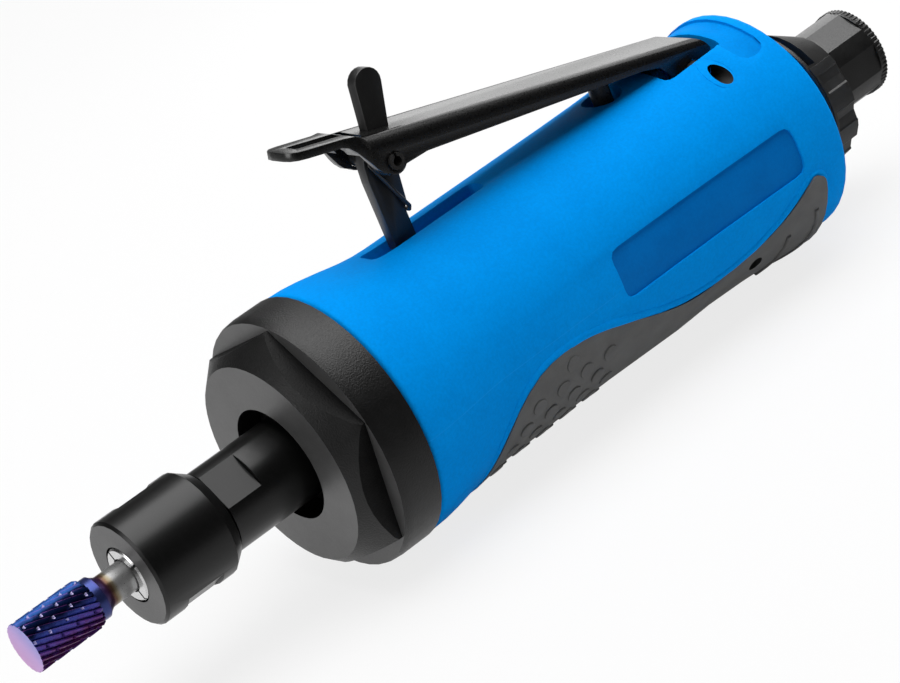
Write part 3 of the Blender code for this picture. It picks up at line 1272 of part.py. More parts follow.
def wedge(name, angle, start, end):
    """Sector about the top of the tool axis."""
    side = math.radians(angle)
    outline = [(0.0, 0.0), (-REACH * math.sin(side), REACH * math.cos(side)), (-REACH, REACH), (REACH, REACH),
               (REACH * math.sin(side), REACH * math.cos(side))]
    return prism(name, outline, "X", start, end)


def exhaust_deflector():
    """Turnable cone with a notched grip collar; the open sector carries the exhaust slot."""
    rim_x = DEFLECTOR_X + DEFLECTOR_RIM
    wall_x = DEFLECTOR_REAR_X - DEFLECTOR_END_WALL
    cavity = deflector_cone(rim_x) - DEFLECTOR_WALL
    body = turned("exhaust_deflector", [
        (DEFLECTOR_X, cavity),
        (DEFLECTOR_X, deflector_cone(rim_x)),
        (rim_x, deflector_cone(rim_x)),
        (DEFLECTOR_REAR_X, DEFLECTOR_REAR_RADIUS),
        (DEFLECTOR_REAR_X, INLET_HOLE_RADIUS),
        (wall_x, INLET_HOLE_RADIUS),
        (wall_x, deflector_cone(wall_x) - DEFLECTOR_WALL),
        (rim_x, cavity),
    ], FINE_SEGMENTS)
    slot_x = rim_x + CLEARANCE
    slot = tube("slot", slot_x, slot_x + DEFLECTOR_SLOT_WIDTH, REACH, INLET_HOLE_RADIUS + CLEARANCE)
    trim(slot, wedge("sector", DEFLECTOR_SLOT_ANGLE, DEFLECTOR_X, DEFLECTOR_REAR_X))
    cut(body, slot)
    return reshape(body, [deflector_collar()], "UNION")


def deflector_collar():
    """Notched ring that thickens the cone outside its open sector."""
    start = DEFLECTOR_X + CLEARANCE
    end = DEFLECTOR_X + DEFLECTOR_COLLAR_LENGTH
    root = DEFLECTOR_WALL / 2
    collar = turned("collar", [
        (start, deflector_cone(DEFLECTOR_X) - root), (start, DEFLECTOR_RADIUS), (end, DEFLECTOR_RADIUS),
        (end, deflector_cone(end) - root),
    ], FINE_SEGMENTS)
    cut(collar, wedge("sector", DEFLECTOR_OPEN_ANGLE, DEFLECTOR_X - REACH, DEFLECTOR_REAR_X + REACH))
    return cut(collar, *deflector_notches(start + DEFLECTOR_RIM, end + DEFLECTOR_RIM))


def deflector_notches(start, end):
    """Rods that scallop the collar, spread evenly about its bottom."""
    notches = []
    for number in range(DEFLECTOR_NOTCHES):
        notch = rod("notch", start, end, DEFLECTOR_NOTCH_RADIUS, SMALL_SEGMENTS)
        height = DEFLECTOR_RADIUS - DEFLECTOR_NOTCH_DEPTH + DEFLECTOR_NOTCH_RADIUS
        notch.data.transform(Matrix.Translation((0.0, 0.0, height)))
        notches.append(spun(notch, 180 + DEFLECTOR_NOTCH_PITCH * (number - (DEFLECTOR_NOTCHES - 1) / 2)))
    return notches


def exhaust_muffler():
    """Felt ring that fills the back of the deflector's cavity."""
    x = DEFLECTOR_REAR_X - DEFLECTOR_END_WALL - CLEARANCE
    front = x - MUFFLER_LENGTH
    outer = deflector_cone(x) - DEFLECTOR_WALL - CLEARANCE
    return tube("exhaust_muffler", front, x, outer, INLET_HOLE_RADIUS, INNER_SEGMENTS)


def build():
    clear_scene()
    dress(motor_housing(), BLUE, 0.32)
    dress(grip_sleeve(), RUBBER, 0.62)
    dress(nose_cap(), BLACK_OXIDE, 0.35)
    dress(front_seal(), FELT, 0.95)
    dress(front_end_plate(), STEEL, 0.3, 1.0)
    front = (FRONT_BEARING_X, FRONT_BEARING_WIDTH, FRONT_BEARING_RADIUS, FRONT_BEARING_BORE)
    rear = (REAR_BEARING_X, REAR_BEARING_WIDTH, REAR_BEARING_RADIUS, REAR_BEARING_BORE)
    dress(bearing_outer("front_bearing_outer", *front), STEEL, 0.2, 1.0)
    dress(bearing_inner("front_bearing_inner", *front), STEEL, 0.2, 1.0)
    dress(bearing_outer("rear_bearing_outer", *rear), STEEL, 0.2, 1.0)
    dress(bearing_inner("rear_bearing_inner", *rear), STEEL, 0.2, 1.0)
    dress(wave_washer(), STEEL, 0.3, 1.0)
    dress(bearing_spacer(), STEEL, 0.3, 1.0)
    dress(spindle(), BLACK_OXIDE, 0.3, 1.0)
    dress(collet(), DARK_STEEL, 0.3, 1.0)
    dress(collet_nut(), BLACK_OXIDE, 0.35, 1.0)
    dress(burr(), STEEL, 0.25, 1.0)
    dress(rotor(), STEEL, 0.3, 1.0)
    for number in range(BLADES):
        dress(rotor_blade(number), (0.22, 0.12, 0.05), 0.6)
    dress(cylinder_liner(), STEEL, 0.3, 1.0)
    dress(cylinder_pin(), STEEL, 0.25, 1.0)
    dress(rear_end_plate(), STEEL, 0.3, 1.0)
    dress(throttle_lever(), BLACK_ENAMEL, 0.3)
    dress(lever_pivot_pin(), STEEL, 0.3, 1.0)
    dress(latch_pin(), DARK_STEEL, 0.35, 1.0)
    dress(safety_latch(), BLACK_OXIDE, 0.4)
    dress(latch_spring(), STEEL, 0.25, 1.0)
    dress(throttle_plunger(), STEEL, 0.2, 1.0)
    dress(plunger_seal(), RUBBER, 0.6)
    dress(plunger_bushing(), BRASS, 0.3, 1.0)
    dress(valve_seat(), BRASS, 0.3, 1.0)
    dress(tip_valve(), STEEL, 0.3, 1.0)
    dress(valve_spring(), STEEL, 0.25, 1.0)
    dress(inlet_bushing(), DARK_STEEL, 0.3, 1.0)
    dress(inlet_seal(), RUBBER, 0.6)
    dress(inlet_screen(), BRASS, 0.4, 1.0)
    dress(exhaust_deflector(), DARK_STEEL, 0.45, 0.6)
    dress(exhaust_muffler(), FELT, 0.95)


build()
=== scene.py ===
import math

import bpy
from mathutils import Matrix, Vector


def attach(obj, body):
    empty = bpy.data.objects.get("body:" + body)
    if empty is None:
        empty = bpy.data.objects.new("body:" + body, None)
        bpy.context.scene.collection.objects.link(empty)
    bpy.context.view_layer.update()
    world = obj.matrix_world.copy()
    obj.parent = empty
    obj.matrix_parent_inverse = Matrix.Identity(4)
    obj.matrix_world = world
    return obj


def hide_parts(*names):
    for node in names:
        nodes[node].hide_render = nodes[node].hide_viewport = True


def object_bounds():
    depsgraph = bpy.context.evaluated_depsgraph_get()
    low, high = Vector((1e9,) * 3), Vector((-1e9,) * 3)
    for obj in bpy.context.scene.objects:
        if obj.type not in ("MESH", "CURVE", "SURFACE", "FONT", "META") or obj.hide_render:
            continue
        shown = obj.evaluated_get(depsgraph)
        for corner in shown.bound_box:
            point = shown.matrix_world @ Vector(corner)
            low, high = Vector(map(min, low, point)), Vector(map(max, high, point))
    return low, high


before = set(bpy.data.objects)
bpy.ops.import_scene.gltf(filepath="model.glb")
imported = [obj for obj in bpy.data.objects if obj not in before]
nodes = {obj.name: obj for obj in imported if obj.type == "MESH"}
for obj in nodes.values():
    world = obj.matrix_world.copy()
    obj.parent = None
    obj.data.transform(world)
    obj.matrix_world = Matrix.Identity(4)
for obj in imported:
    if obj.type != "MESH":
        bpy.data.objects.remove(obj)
cadBounds = [list(corner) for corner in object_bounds()]
print("frame loaded:", len(nodes), "nodes")


# camera at the photograph's angle, aimed at the waist of the grip
shot = {
    "place": (-0.2885, -0.4399, 0.2145),
    "right": (0.7164, -0.5970, -0.3609),
    "up": (0.5183, 0.1092, 0.8482),
    "lens": 124.1,
    "shift": -0.0012,
}


def setCamera():
    bpy.ops.object.camera_add()
    camera = bpy.context.object
    right, up = Vector(shot["right"]), Vector(shot["up"])
    turn = Matrix((right, up, right.cross(up))).transposed()
    camera.matrix_world = Matrix.Translation(shot["place"]) @ turn.to_4x4()
    camera.data.sensor_width = 36
    camera.data.lens = shot["lens"]
    camera.data.shift_x = shot["shift"]
    camera.data.clip_start = 0.01
    bpy.context.scene.camera = camera


setCamera()
print("camera set")


# node helpers for the finishes; every pattern reads Object coordinates in metres
def startFinish(name, roughness, metallic, specular):
    material = bpy.data.materials.new(name)
    material.use_nodes = True
    tree = material.node_tree
    shader = tree.nodes["Principled BSDF"]
    shader.inputs["Roughness"].default_value = roughness
    shader.inputs["Metallic"].default_value = metallic
    shader.inputs["Specular IOR Level"].default_value = specular
    place = tree.nodes.new("ShaderNodeTexCoord").outputs["Object"]
    return material, tree, shader, place


def grain(tree, place, scale, detail=2.0, stretch=(1, 1, 1)):
    mapping = tree.nodes.new("ShaderNodeMapping")
    mapping.inputs["Scale"].default_value = stretch
    tree.links.new(place, mapping.inputs["Vector"])
    noise = tree.nodes.new("ShaderNodeTexNoise")
    noise.inputs["Scale"].default_value = scale
    noise.inputs["Detail"].default_value = detail
    tree.links.new(mapping.outputs["Vector"], noise.inputs["Vector"])
    return noise.outputs[0]


def ramp(tree, value, stops):
    node = tree.nodes.new("ShaderNodeValToRGB")
    bands = node.color_ramp.elements
    while len(bands) < len(stops):
        bands.new(0.5)
    for band, (spot, colour) in zip(bands, stops):
        band.position = spot
        band.color = (*colour, 1)
    tree.links.new(value, node.inputs["Fac"])
    return node.outputs["Color"]


def spread(tree, value, start, end, low, high):
    node = tree.nodes.new("ShaderNodeMapRange")
    for name, number in zip(("From Min", "From Max", "To Min", "To Max"), (start, end, low, high)):
        node.inputs[name].default_value = number
    tree.links.new(value, node.inputs["Value"])
    return node.outputs["Result"]


def sums(tree, operation, first, second):
    node = tree.nodes.new("ShaderNodeMath")
    node.operation = operation
    for socket, value in zip(node.inputs, (first, second)):
        if isinstance(value, (int, float)):
            socket.default_value = value
        else:
            tree.links.new(value, socket)
    return node.outputs[0]


def blendColour(tree, share, first, second, mode="MIX"):
    node = tree.nodes.new("ShaderNodeMix")
    node.data_type = "RGBA"
    node.blend_type = mode
    for socket, value in ((node.inputs[0], share), (node.inputs[6], first), (node.inputs[7], second)):
        if isinstance(value, (int, float)):
            socket.default_value = value
        elif isinstance(value, tuple):
            socket.default_value = (*value, 1)
        else:
            tree.links.new(value, socket)
    return node.outputs[2]


def bump(tree, shader, height, strength, depth):
    node = tree.nodes.new("ShaderNodeBump")
    node.inputs["Strength"].default_value = strength
    node.inputs["Distance"].default_value = depth
    tree.links.new(height, node.inputs["Height"])
    tree.links.new(node.outputs["Normal"], shader.inputs["Normal"])


def axes(tree, place):
    split = tree.nodes.new("ShaderNodeSeparateXYZ")
    tree.links.new(place, split.inputs["Vector"])
    return split.outputs["X"], split.outputs["Y"], split.outputs["Z"]


# white studio: wide overhead key, pale sweep behind, dark room behind the camera
studio = {
    "room": 0.17,
    "horizon": 0.28, "ceiling": 0.03, "horizonLow": 0.0, "horizonHigh": 0.30,
    "back": (-0.45, 0.88, 0.10), "frontShade": 0.05, "shadeFrom": -0.35, "shadeTo": 0.15,
    "keyPlace": (0.10, 0.0, 0.80), "keySize": 0.85, "keyPower": 9.0,
    "cardPlace": (0.22, 0.24, 0.06), "cardSize": 0.13, "cardPower": 0.075,
    "stripPlace": (0.61, 0.50, 0.43), "stripSize": 0.55, "stripPower": 1.5,
    "fillPlace": (-0.62, 0.06, 0.26), "fillSize": 0.30, "fillPower": 0.9,
    "tailPlace": (0.55, -0.06, 0.63), "tailSize": 0.30, "tailPower": 0.9,
    "aim": (-0.02, 0, 0),
    "floorDrop": 0.0003, "floorGlow": 0.80, "floorMirror": 0.96,
    "nearShade": 0.05, "nearFrom": -0.12, "nearTo": 0.07, "farFrom": 0.22, "farTo": 0.60, "farShade": 0.2,
}


def rayShare(tree, names):
    path = tree.nodes.new("ShaderNodeLightPath")
    total = path.outputs[names[0]]
    for name in names[1:]:
        add = tree.nodes.new("ShaderNodeMath")
        add.operation = "ADD"
        add.use_clamp = True
        tree.links.new(total, add.inputs[0])
        tree.links.new(path.outputs[name], add.inputs[1])
        total = add.outputs[0]
    return total


def softBox(name, place, size, power):
    bpy.ops.object.light_add(type="AREA", location=place)
    lamp = bpy.context.object
    lamp.name = name
    lamp.data.size = size
    lamp.data.energy = power
    aim = Vector(studio["aim"]) - Vector(place)
    lamp.rotation_euler = aim.to_track_quat("-Z", "Y").to_euler()
    lamp.visible_camera = False


def setRoom():
    scene = bpy.context.scene
    scene.view_settings.view_transform = "Standard"
    world = bpy.data.worlds.new("whiteRoom")
    world.use_nodes = True
    scene.world = world
    tree = world.node_tree
    sky = tree.nodes["Background"]
    sky.inputs["Color"].default_value = (1, 1, 1, 1)
    look = tree.nodes.new("ShaderNodeTexCoord")
    split = tree.nodes.new("ShaderNodeSeparateXYZ")
    tree.links.new(look.outputs["Generated"], split.inputs["Vector"])
    height = tree.nodes.new("ShaderNodeMapRange")  # glossy rays see a grey sweep under a dark ceiling
    height.interpolation_type = "SMOOTHSTEP"
    height.inputs["From Min"].default_value = studio["horizonLow"]
    height.inputs["From Max"].default_value = studio["horizonHigh"]
    height.inputs["To Min"].default_value = studio["horizon"]
    height.inputs["To Max"].default_value = studio["ceiling"]
    tree.links.new(split.outputs["Z"], height.inputs["Value"])
    side = tree.nodes.new("ShaderNodeVectorMath")  # and a darker room behind the camera
    side.operation = "DOT_PRODUCT"
    side.inputs[1].default_value = studio["back"]
    tree.links.new(look.outputs["Generated"], side.inputs[0])
    shade = tree.nodes.new("ShaderNodeMapRange")
    shade.interpolation_type = "SMOOTHSTEP"
    shade.inputs["From Min"].default_value = studio["shadeFrom"]
    shade.inputs["From Max"].default_value = studio["shadeTo"]
    shade.inputs["To Min"].default_value = studio["frontShade"]
    tree.links.new(side.outputs["Value"], shade.inputs["Value"])
    both = tree.nodes.new("ShaderNodeMath")
    both.operation = "MULTIPLY"
    tree.links.new(height.outputs["Result"], both.inputs[0])
    tree.links.new(shade.outputs["Result"], both.inputs[1])
    glossy = tree.nodes.new("ShaderNodeMix")
    glossy.inputs["A"].default_value = studio["room"]
    tree.links.new(rayShare(tree, ["Is Glossy Ray", "Is Transmission Ray"]), glossy.inputs["Factor"])
    tree.links.new(both.outputs[0], glossy.inputs["B"])
    seen = tree.nodes.new("ShaderNodeMix")
    seen.inputs["B"].default_value = 1.0
    tree.links.new(rayShare(tree, ["Is Camera Ray"]), seen.inputs["Factor"])
    tree.links.new(glossy.outputs["Result"], seen.inputs["A"])
    tree.links.new(seen.outputs["Result"], sky.inputs["Strength"])


def setFloor():
    bpy.ops.mesh.primitive_plane_add(size=8, location=(0, 0, cadBounds[0][2] - studio["floorDrop"]))
    floor = bpy.context.object
    floor.name = "paleFloor"
    paper = bpy.data.materials.new("whitePaper")
    paper.use_nodes = True
    tree = paper.node_tree
    matt = tree.nodes["Principled BSDF"]
    matt.inputs["Base Color"].default_value = (0.7, 0.7, 0.7, 1)
    matt.inputs["Roughness"].default_value = 0.9
    matt.inputs["Specular IOR Level"].default_value = 0.0
    seen = rayShare(tree, ["Is Camera Ray"])
    mirrored = rayShare(tree, ["Is Glossy Ray", "Is Transmission Ray"])
    place = tree.nodes.new("ShaderNodeTexCoord").outputs["Object"]
    behind = tree.nodes.new("ShaderNodeVectorMath")
    behind.operation = "DOT_PRODUCT"
    behind.inputs[1].default_value = studio["back"]
    tree.links.new(place, behind.inputs[0])
    near = spread(tree, behind.outputs["Value"], studio["nearFrom"], studio["nearTo"], studio["nearShade"], 1.0)
    away = tree.nodes.new("ShaderNodeVectorMath")
    away.operation = "LENGTH"
    tree.links.new(place, away.inputs[0])
    far = spread(tree, away.outputs["Value"], studio["farFrom"], studio["farTo"], 1.0, studio["farShade"])
    glow = tree.nodes.new("ShaderNodeEmission")  # mirrored, the floor dims towards the camera and far off
    tree.links.new(sums(tree, "MAXIMUM", seen, sums(tree, "MULTIPLY", near, far)), glow.inputs["Strength"])
    share = sums(tree, "ADD", sums(tree, "MULTIPLY", seen, studio["floorGlow"]),
                 sums(tree, "MULTIPLY", mirrored, studio["floorMirror"]))
    mix = tree.nodes.new("ShaderNodeMixShader")
    tree.links.new(share, mix.inputs["Fac"])
    tree.links.new(matt.outputs["BSDF"], mix.inputs[1])
    tree.links.new(glow.outputs["Emission"], mix.inputs[2])
    tree.links.new(mix.outputs["Shader"], tree.nodes["Material Output"].inputs["Surface"])
    floor.data.materials.append(paper)


setRoom()
softBox("keyLight", studio["keyPlace"], studio["keySize"], studio["keyPower"])
softBox("cardLight", studio["cardPlace"], studio["cardSize"], studio["cardPower"])
softBox("stripLight", studio["stripPlace"], studio["stripSize"], studio["stripPower"])
softBox("fillLight", studio["fillPlace"], studio["fillSize"], studio["fillPower"])
softBox("tailLight", studio["tailPlace"], studio["tailSize"], studio["tailPower"])
setFloor()
print("studio set")


# a grained surface: broad colour drift, fine grain in gloss and relief
def grained(look):
    rough = look["rough"]
    material, tree, shader, place = startFinish(look["name"], rough[0], look.get("metal", 0.0), look["gloss"])
    stretch = look.get("stretch", (1, 1, 1))
    fine = grain(tree, place, look["grain"], 2.0, stretch)
    drift = grain(tree, place, look["grain"] * 0.08, 3.0, stretch)
    tone = sums(tree, "ADD", sums(tree, "MULTIPLY", drift, 0.6), sums(tree, "MULTIPLY", fine, 0.4))
    tree.links.new(ramp(tree, tone, [(0.36, look["dark"]), (0.64, look["light"])]), shader.inputs["Base Color"])
    tree.links.new(spread(tree, fine, 0.3, 0.7, *rough), shader.inputs["Roughness"])
    bump(tree, shader, fine, look["relief"], look.get("depth", 0.0001))
    return material


# moulded body colour, with the fine parting line along both sides of the tool, raised by bump and painted lighter as a
# painted highlight
def bodyBlue():
    look = {"seamZ": -0.0009, "seamHalf": 0.00012, "seamEnd": -0.0068,
            "dark": (0.0, 0.248, 0.74), "light": (0.0, 0.286, 0.82)}
    material, tree, shader, place = startFinish("bodyBlue", 0.60, 0.0, 0.01)
    x, y, z = axes(tree, place)
    fine = grain(tree, place, 1900, 2.0)
    drift = grain(tree, place, 140, 3.0)
    away = sums(tree, "ABSOLUTE", sums(tree, "SUBTRACT", z, look["seamZ"]), 0)
    line = spread(tree, away, 0.0, look["seamHalf"], 1.0, 0.0)
    ahead = spread(tree, x, look["seamEnd"] - 0.002, look["seamEnd"], 1.0, 0.0)
    seam = sums(tree, "MULTIPLY", line, ahead)
    tone = sums(tree, "ADD", sums(tree, "MULTIPLY", drift, 0.3), sums(tree, "MULTIPLY", fine, 0.7))
    colour = ramp(tree, tone, [(0.36, look["dark"]), (0.64, look["light"])])
    # painted highlight: the parting line is also painted a lighter blue, besides its raised bump
    colour = blendColour(tree, sums(tree, "MULTIPLY", seam, 0.35), colour, (0.03, 0.36, 0.92))
    tree.links.new(colour, shader.inputs["Base Color"])
    tree.links.new(spread(tree, fine, 0.3, 0.7, 0.56, 0.66), shader.inputs["Roughness"])
    height = sums(tree, "ADD", sums(tree, "MULTIPLY", fine, 0.6), sums(tree, "MULTIPLY", seam, 1.4))
    bump(tree, shader, height, 0.16, 0.0001)
    return material


# turned bar steel: grain drawn out round the axis, so that lathe marks catch the light
def turnedMetal(look):
    material, tree, shader, place = startFinish(look["name"], look["rough"][0], look.get("metal", 1.0), look["gloss"])
    x, y, z = axes(tree, place)
    marks = tree.nodes.new("ShaderNodeTexNoise")
    marks.noise_dimensions = "1D"
    marks.inputs["Scale"].default_value = look["marks"]
    marks.inputs["Detail"].default_value = 3.0
    tree.links.new(x, marks.inputs["W"])
    fine = grain(tree, place, 3000, 2.0)
    tone = sums(tree, "ADD", sums(tree, "MULTIPLY", marks.outputs[0], 0.6), sums(tree, "MULTIPLY", fine, 0.4))
    tree.links.new(ramp(tree, tone, [(0.35, look["dark"]), (0.65, look["light"])]), shader.inputs["Base Color"])
    tree.links.new(spread(tree, tone, 0.3, 0.7, *look["rough"]), shader.inputs["Roughness"])
    bump(tree, shader, tone, look["relief"], 0.00006)
    return material


# tempering colours along the shank: bare steel, straw, brown, purple, then blue at the collar
def temperedShank():
    look = {"blueX": -0.1122, "steelX": -0.1082}
    material, tree, shader, place = startFinish("temperedShank", 0.30, 0.75, 0.5)
    x, y, z = axes(tree, place)
    ragged = sums(tree, "ADD", x, sums(tree, "MULTIPLY", grain(tree, place, 500, 2.0), 0.0006))
    along = spread(tree, ragged, look["blueX"], look["steelX"], 0.0, 1.0)
    colour = ramp(tree, along, [(0.0, (0.035, 0.05, 0.19)), (0.20, (0.05, 0.02, 0.12)), (0.42, (0.07, 0.02, 0.05)),
                                (0.60, (0.14, 0.08, 0.04)), (0.74, (0.30, 0.26, 0.18)), (0.90, (0.52, 0.52, 0.52))])
    tree.links.new(colour, shader.inputs["Base Color"])
    fine = grain(tree, place, 2600, 2.0, (5, 1, 1))
    tree.links.new(spread(tree, fine, 0.3, 0.7, 0.27, 0.36), shader.inputs["Roughness"])
    bump(tree, shader, fine, 0.05, 0.00006)
    return material


# hard coat on the cutter: blue lands that turn to purple underneath, partly the coat's own colour and partly painted
# reflection; painted shade on the navy roots, and a painted highlight in violet on the crests
def coatedCutter():
    look = {"root": 0.00413, "crest": 0.0047, "leanY": 0.8, "leanZ": 0.6}
    material, tree, shader, place = startFinish("coatedCutter", 0.30, 0.45, 0.08)
    x, y, z = axes(tree, place)
    radius = sums(tree, "SQRT", sums(tree, "ADD", sums(tree, "MULTIPLY", y, y), sums(tree, "MULTIPLY", z, z)), 0)
    cloud = sums(tree, "MULTIPLY", sums(tree, "SUBTRACT", grain(tree, place, 700, 2.0), 0.5), 0.22)
    lean = sums(tree, "ADD", sums(tree, "MULTIPLY", y, look["leanY"]), sums(tree, "MULTIPLY", z, look["leanZ"]))
    around = sums(tree, "ADD", spread(tree, lean, -look["crest"], look["crest"], 0.0, 1.0), cloud)
    landsAndReflection = ramp(tree, around, [(0.01, (0.10, 0.016, 0.10)), (0.11, (0.085, 0.045, 0.26)),
                                (0.26, (0.045, 0.070, 0.34)), (0.42, (0.003, 0.006, 0.03)),
                                (0.64, (0.004, 0.014, 0.07)), (0.88, (0.02, 0.09, 0.32))])
    # painted shade: the colour darkens towards the roots of the teeth
    depth = sums(tree, "ADD", spread(tree, radius, look["root"], look["crest"], 0.0, 1.0),
                 sums(tree, "MULTIPLY", cloud, 0.4))
    shade = ramp(tree, depth, [(0.05, (0.10, 0.06, 0.14)), (0.35, (1.0, 1.0, 1.0))])
    coat = blendColour(tree, 1.0, landsAndReflection, shade, "MULTIPLY")
    # painted highlight: violet along the crests
    edge = spread(tree, depth, 0.95, 1.0, 0.0, 0.6)
    tree.links.new(blendColour(tree, edge, coat, (0.26, 0.06, 0.32)), shader.inputs["Base Color"])
    fine = grain(tree, place, 3200, 2.0)
    tree.links.new(spread(tree, fine, 0.3, 0.7, 0.24, 0.36), shader.inputs["Roughness"])
    bump(tree, shader, fine, 0.10, 0.00006)
    return material


# ground end face of the cutter: lilac blue at the top to pink at the bottom
def cutterFace():
    material, tree, shader, place = startFinish("cutterFace", 0.45, 0.1, 0.4)
    x, y, z = axes(tree, place)
    fine = grain(tree, place, 2400, 2.0)
    lean = sums(tree, "ADD", sums(tree, "SUBTRACT", z, y), sums(tree, "MULTIPLY", fine, 0.002))
    colour = ramp(tree, spread(tree, lean, -0.005, 0.007, 0.0, 1.0),
                  [(0.0, (0.66, 0.36, 0.70)), (0.5, (0.60, 0.38, 0.78)), (1.0, (0.34, 0.33, 0.78))])
    tree.links.new(colour, shader.inputs["Base Color"])
    bump(tree, shader, fine, 0.12, 0.00006)
    return material


finishes = {
    "bodyBlue": bodyBlue(),
    "temperedShank": temperedShank(),
    "coatedCutter": coatedCutter(),
    "cutterFace": cutterFace(),
}
for look in [
    # darker blue for the sunken side panel, also used as painted shade on the walls of the hood recess
    {"name": "panelBlueAndRecessShade", "dark": (0.0, 0.130, 0.45), "light": (0.0, 0.152, 0.51), "grain": 2000,
     "rough": (0.46, 0.56), "gloss": 0.02, "relief": 0.12},
    # painted shade: a darker blue for the lettered floor of the hood recess
    {"name": "hoodRecessShade", "dark": (0.0, 0.195, 0.61), "light": (0.0, 0.250, 0.74), "grain": 1900,
     "rough": (0.56, 0.66), "gloss": 0.01, "relief": 0.16},
    # painted light: a lighter grey copy of the black oxide for the ends that face forward
    {"name": "paintedLightOxide", "dark": (0.050, 0.050, 0.050), "light": (0.068, 0.068, 0.068), "grain": 2600,
     "rough": (0.36, 0.46), "gloss": 0.7, "relief": 0.15},
    {"name": "gripRubber", "dark": (0.108, 0.108, 0.107), "light": (0.132, 0.132, 0.130), "grain": 3200,
     "rough": (0.66, 0.78), "gloss": 0.22, "relief": 0.3},
    {"name": "capBlack", "dark": (0.003, 0.003, 0.003), "light": (0.006, 0.006, 0.006), "grain": 3400,
     "rough": (0.38, 0.48), "gloss": 0.42, "relief": 0.6, "depth": 0.00013},
    # painted shade: a darker, less glossy copy of the cap finish for the wrench flats
    {"name": "capFlatShade", "dark": (0.002, 0.002, 0.002), "light": (0.005, 0.005, 0.005), "grain": 3400,
     "rough": (0.42, 0.52), "gloss": 0.12, "relief": 0.6, "depth": 0.00013},
    {"name": "leverBlack", "dark": (0.003, 0.003, 0.003), "light": (0.005, 0.005, 0.005), "grain": 2800,
     "rough": (0.26, 0.32), "gloss": 0.8, "relief": 0.05},
    {"name": "latchBlack", "dark": (0.005, 0.005, 0.005), "light": (0.009, 0.009, 0.009), "grain": 3200,
     "rough": (0.36, 0.46), "gloss": 0.8, "relief": 0.25},
    {"name": "collarGrey", "dark": (0.018, 0.018, 0.018), "light": (0.028, 0.028, 0.028), "grain": 3000,
     "rough": (0.34, 0.46), "gloss": 0.5, "relief": 0.2},
    {"name": "inletGrey", "dark": (0.006, 0.006, 0.006), "light": (0.010, 0.010, 0.010), "grain": 2600,
     "rough": (0.30, 0.40), "gloss": 0.7, "relief": 0.2},
    # painted glint: bright lilac for the walls of the upper chip breakers
    {"name": "paintedGlintLilac", "dark": (0.56, 0.50, 0.90), "light": (0.66, 0.60, 0.96), "grain": 2400,
     "rough": (0.30, 0.40), "metal": 0.2, "gloss": 0.5, "relief": 0.1},
    {"name": "darkSteel", "dark": (0.030, 0.029, 0.028), "light": (0.046, 0.044, 0.042), "grain": 2800,
     "rough": (0.26, 0.36), "metal": 0.5, "gloss": 0.5, "relief": 0.1},
    {"name": "groundSteel", "dark": (0.40, 0.40, 0.40), "light": (0.50, 0.50, 0.50), "grain": 2400,
     "rough": (0.26, 0.38), "metal": 1.0, "gloss": 0.5, "relief": 0.1, "stretch": (1, 6, 1)},
    {"name": "turnedBrass", "dark": (0.60, 0.40, 0.14), "light": (0.70, 0.49, 0.19), "grain": 2400,
     "rough": (0.26, 0.38), "metal": 1.0, "gloss": 0.5, "relief": 0.1, "stretch": (6, 1, 1)},
    {"name": "phenolicBlade", "dark": (0.15, 0.08, 0.03), "light": (0.24, 0.13, 0.05), "grain": 900,
     "rough": (0.55, 0.70), "gloss": 0.3, "relief": 0.2, "stretch": (0.2, 1, 1)},
    # black rubber for the seals, also used as painted shade inside the sleeve holes and the hinge bore
    {"name": "sealBlackAndShade", "dark": (0.010, 0.010, 0.010), "light": (0.016, 0.016, 0.016), "grain": 3000,
     "rough": (0.50, 0.64), "gloss": 0.35, "relief": 0.15},
    # near-black felt: partly the felt's own colour, partly painted shade where it shows in the nose opening
    {"name": "darkFeltAndShade", "dark": (0.006, 0.006, 0.005), "light": (0.014, 0.013, 0.012), "grain": 1800,
     "rough": (0.85, 0.97), "gloss": 0.1, "relief": 0.6, "depth": 0.0002},
]:
    finishes[look["name"]] = grained(look)
for look in [
    {"name": "blackOxide", "dark": (0.003, 0.003, 0.003), "light": (0.006, 0.006, 0.006), "marks": 9000,
     "rough": (0.28, 0.36), "metal": 0.0, "gloss": 0.36, "relief": 0.16},
    {"name": "brightSteel", "dark": (0.55, 0.55, 0.55), "light": (0.66, 0.66, 0.66), "marks": 12000,
     "rough": (0.20, 0.32), "metal": 1.0, "gloss": 0.5, "relief": 0.10},
]:
    finishes[look["name"]] = turnedMetal(look)
print("finishes made:", len(finishes))


# modelling helpers
def only(piece):
    bpy.ops.object.select_all(action="DESELECT")
    piece.select_set(True)
    bpy.context.view_layer.objects.active = piece


def applyAll(piece):
    only(piece)
    for name in [modifier.name for modifier in piece.modifiers]:
        bpy.ops.object.modifier_apply(modifier=name)


def editMesh(piece):
    only(piece)
    bpy.ops.object.mode_set(mode="EDIT")
    bpy.ops.mesh.select_mode(type="VERT")
    bpy.ops.mesh.select_all(action="SELECT")


def pick(piece, test):
    bpy.ops.object.mode_set(mode="OBJECT")
    mesh = piece.data
    for part in (mesh.polygons, mesh.edges):
        for item in part:
            item.select = False
    for vert in mesh.vertices:
        vert.select = bool(test(vert.co))
    bpy.ops.object.mode_set(mode="EDIT")


# a working copy of a solid: doubles merged, flat facets joined
def copyOf(node, name):
    piece = bpy.data.objects.new(name, nodes[node].data.copy())
    bpy.context.scene.collection.objects.link(piece)
    only(piece)
    if piece.data.has_custom_normals:
        bpy.ops.mesh.customdata_custom_splitnormals_clear()
    editMesh(piece)
    bpy.ops.mesh.remove_doubles(threshold=0.000002)
    bpy.ops.mesh.dissolve_limited(angle_limit=math.radians(0.3))
    bpy.ops.object.mode_set(mode="OBJECT")
    return piece


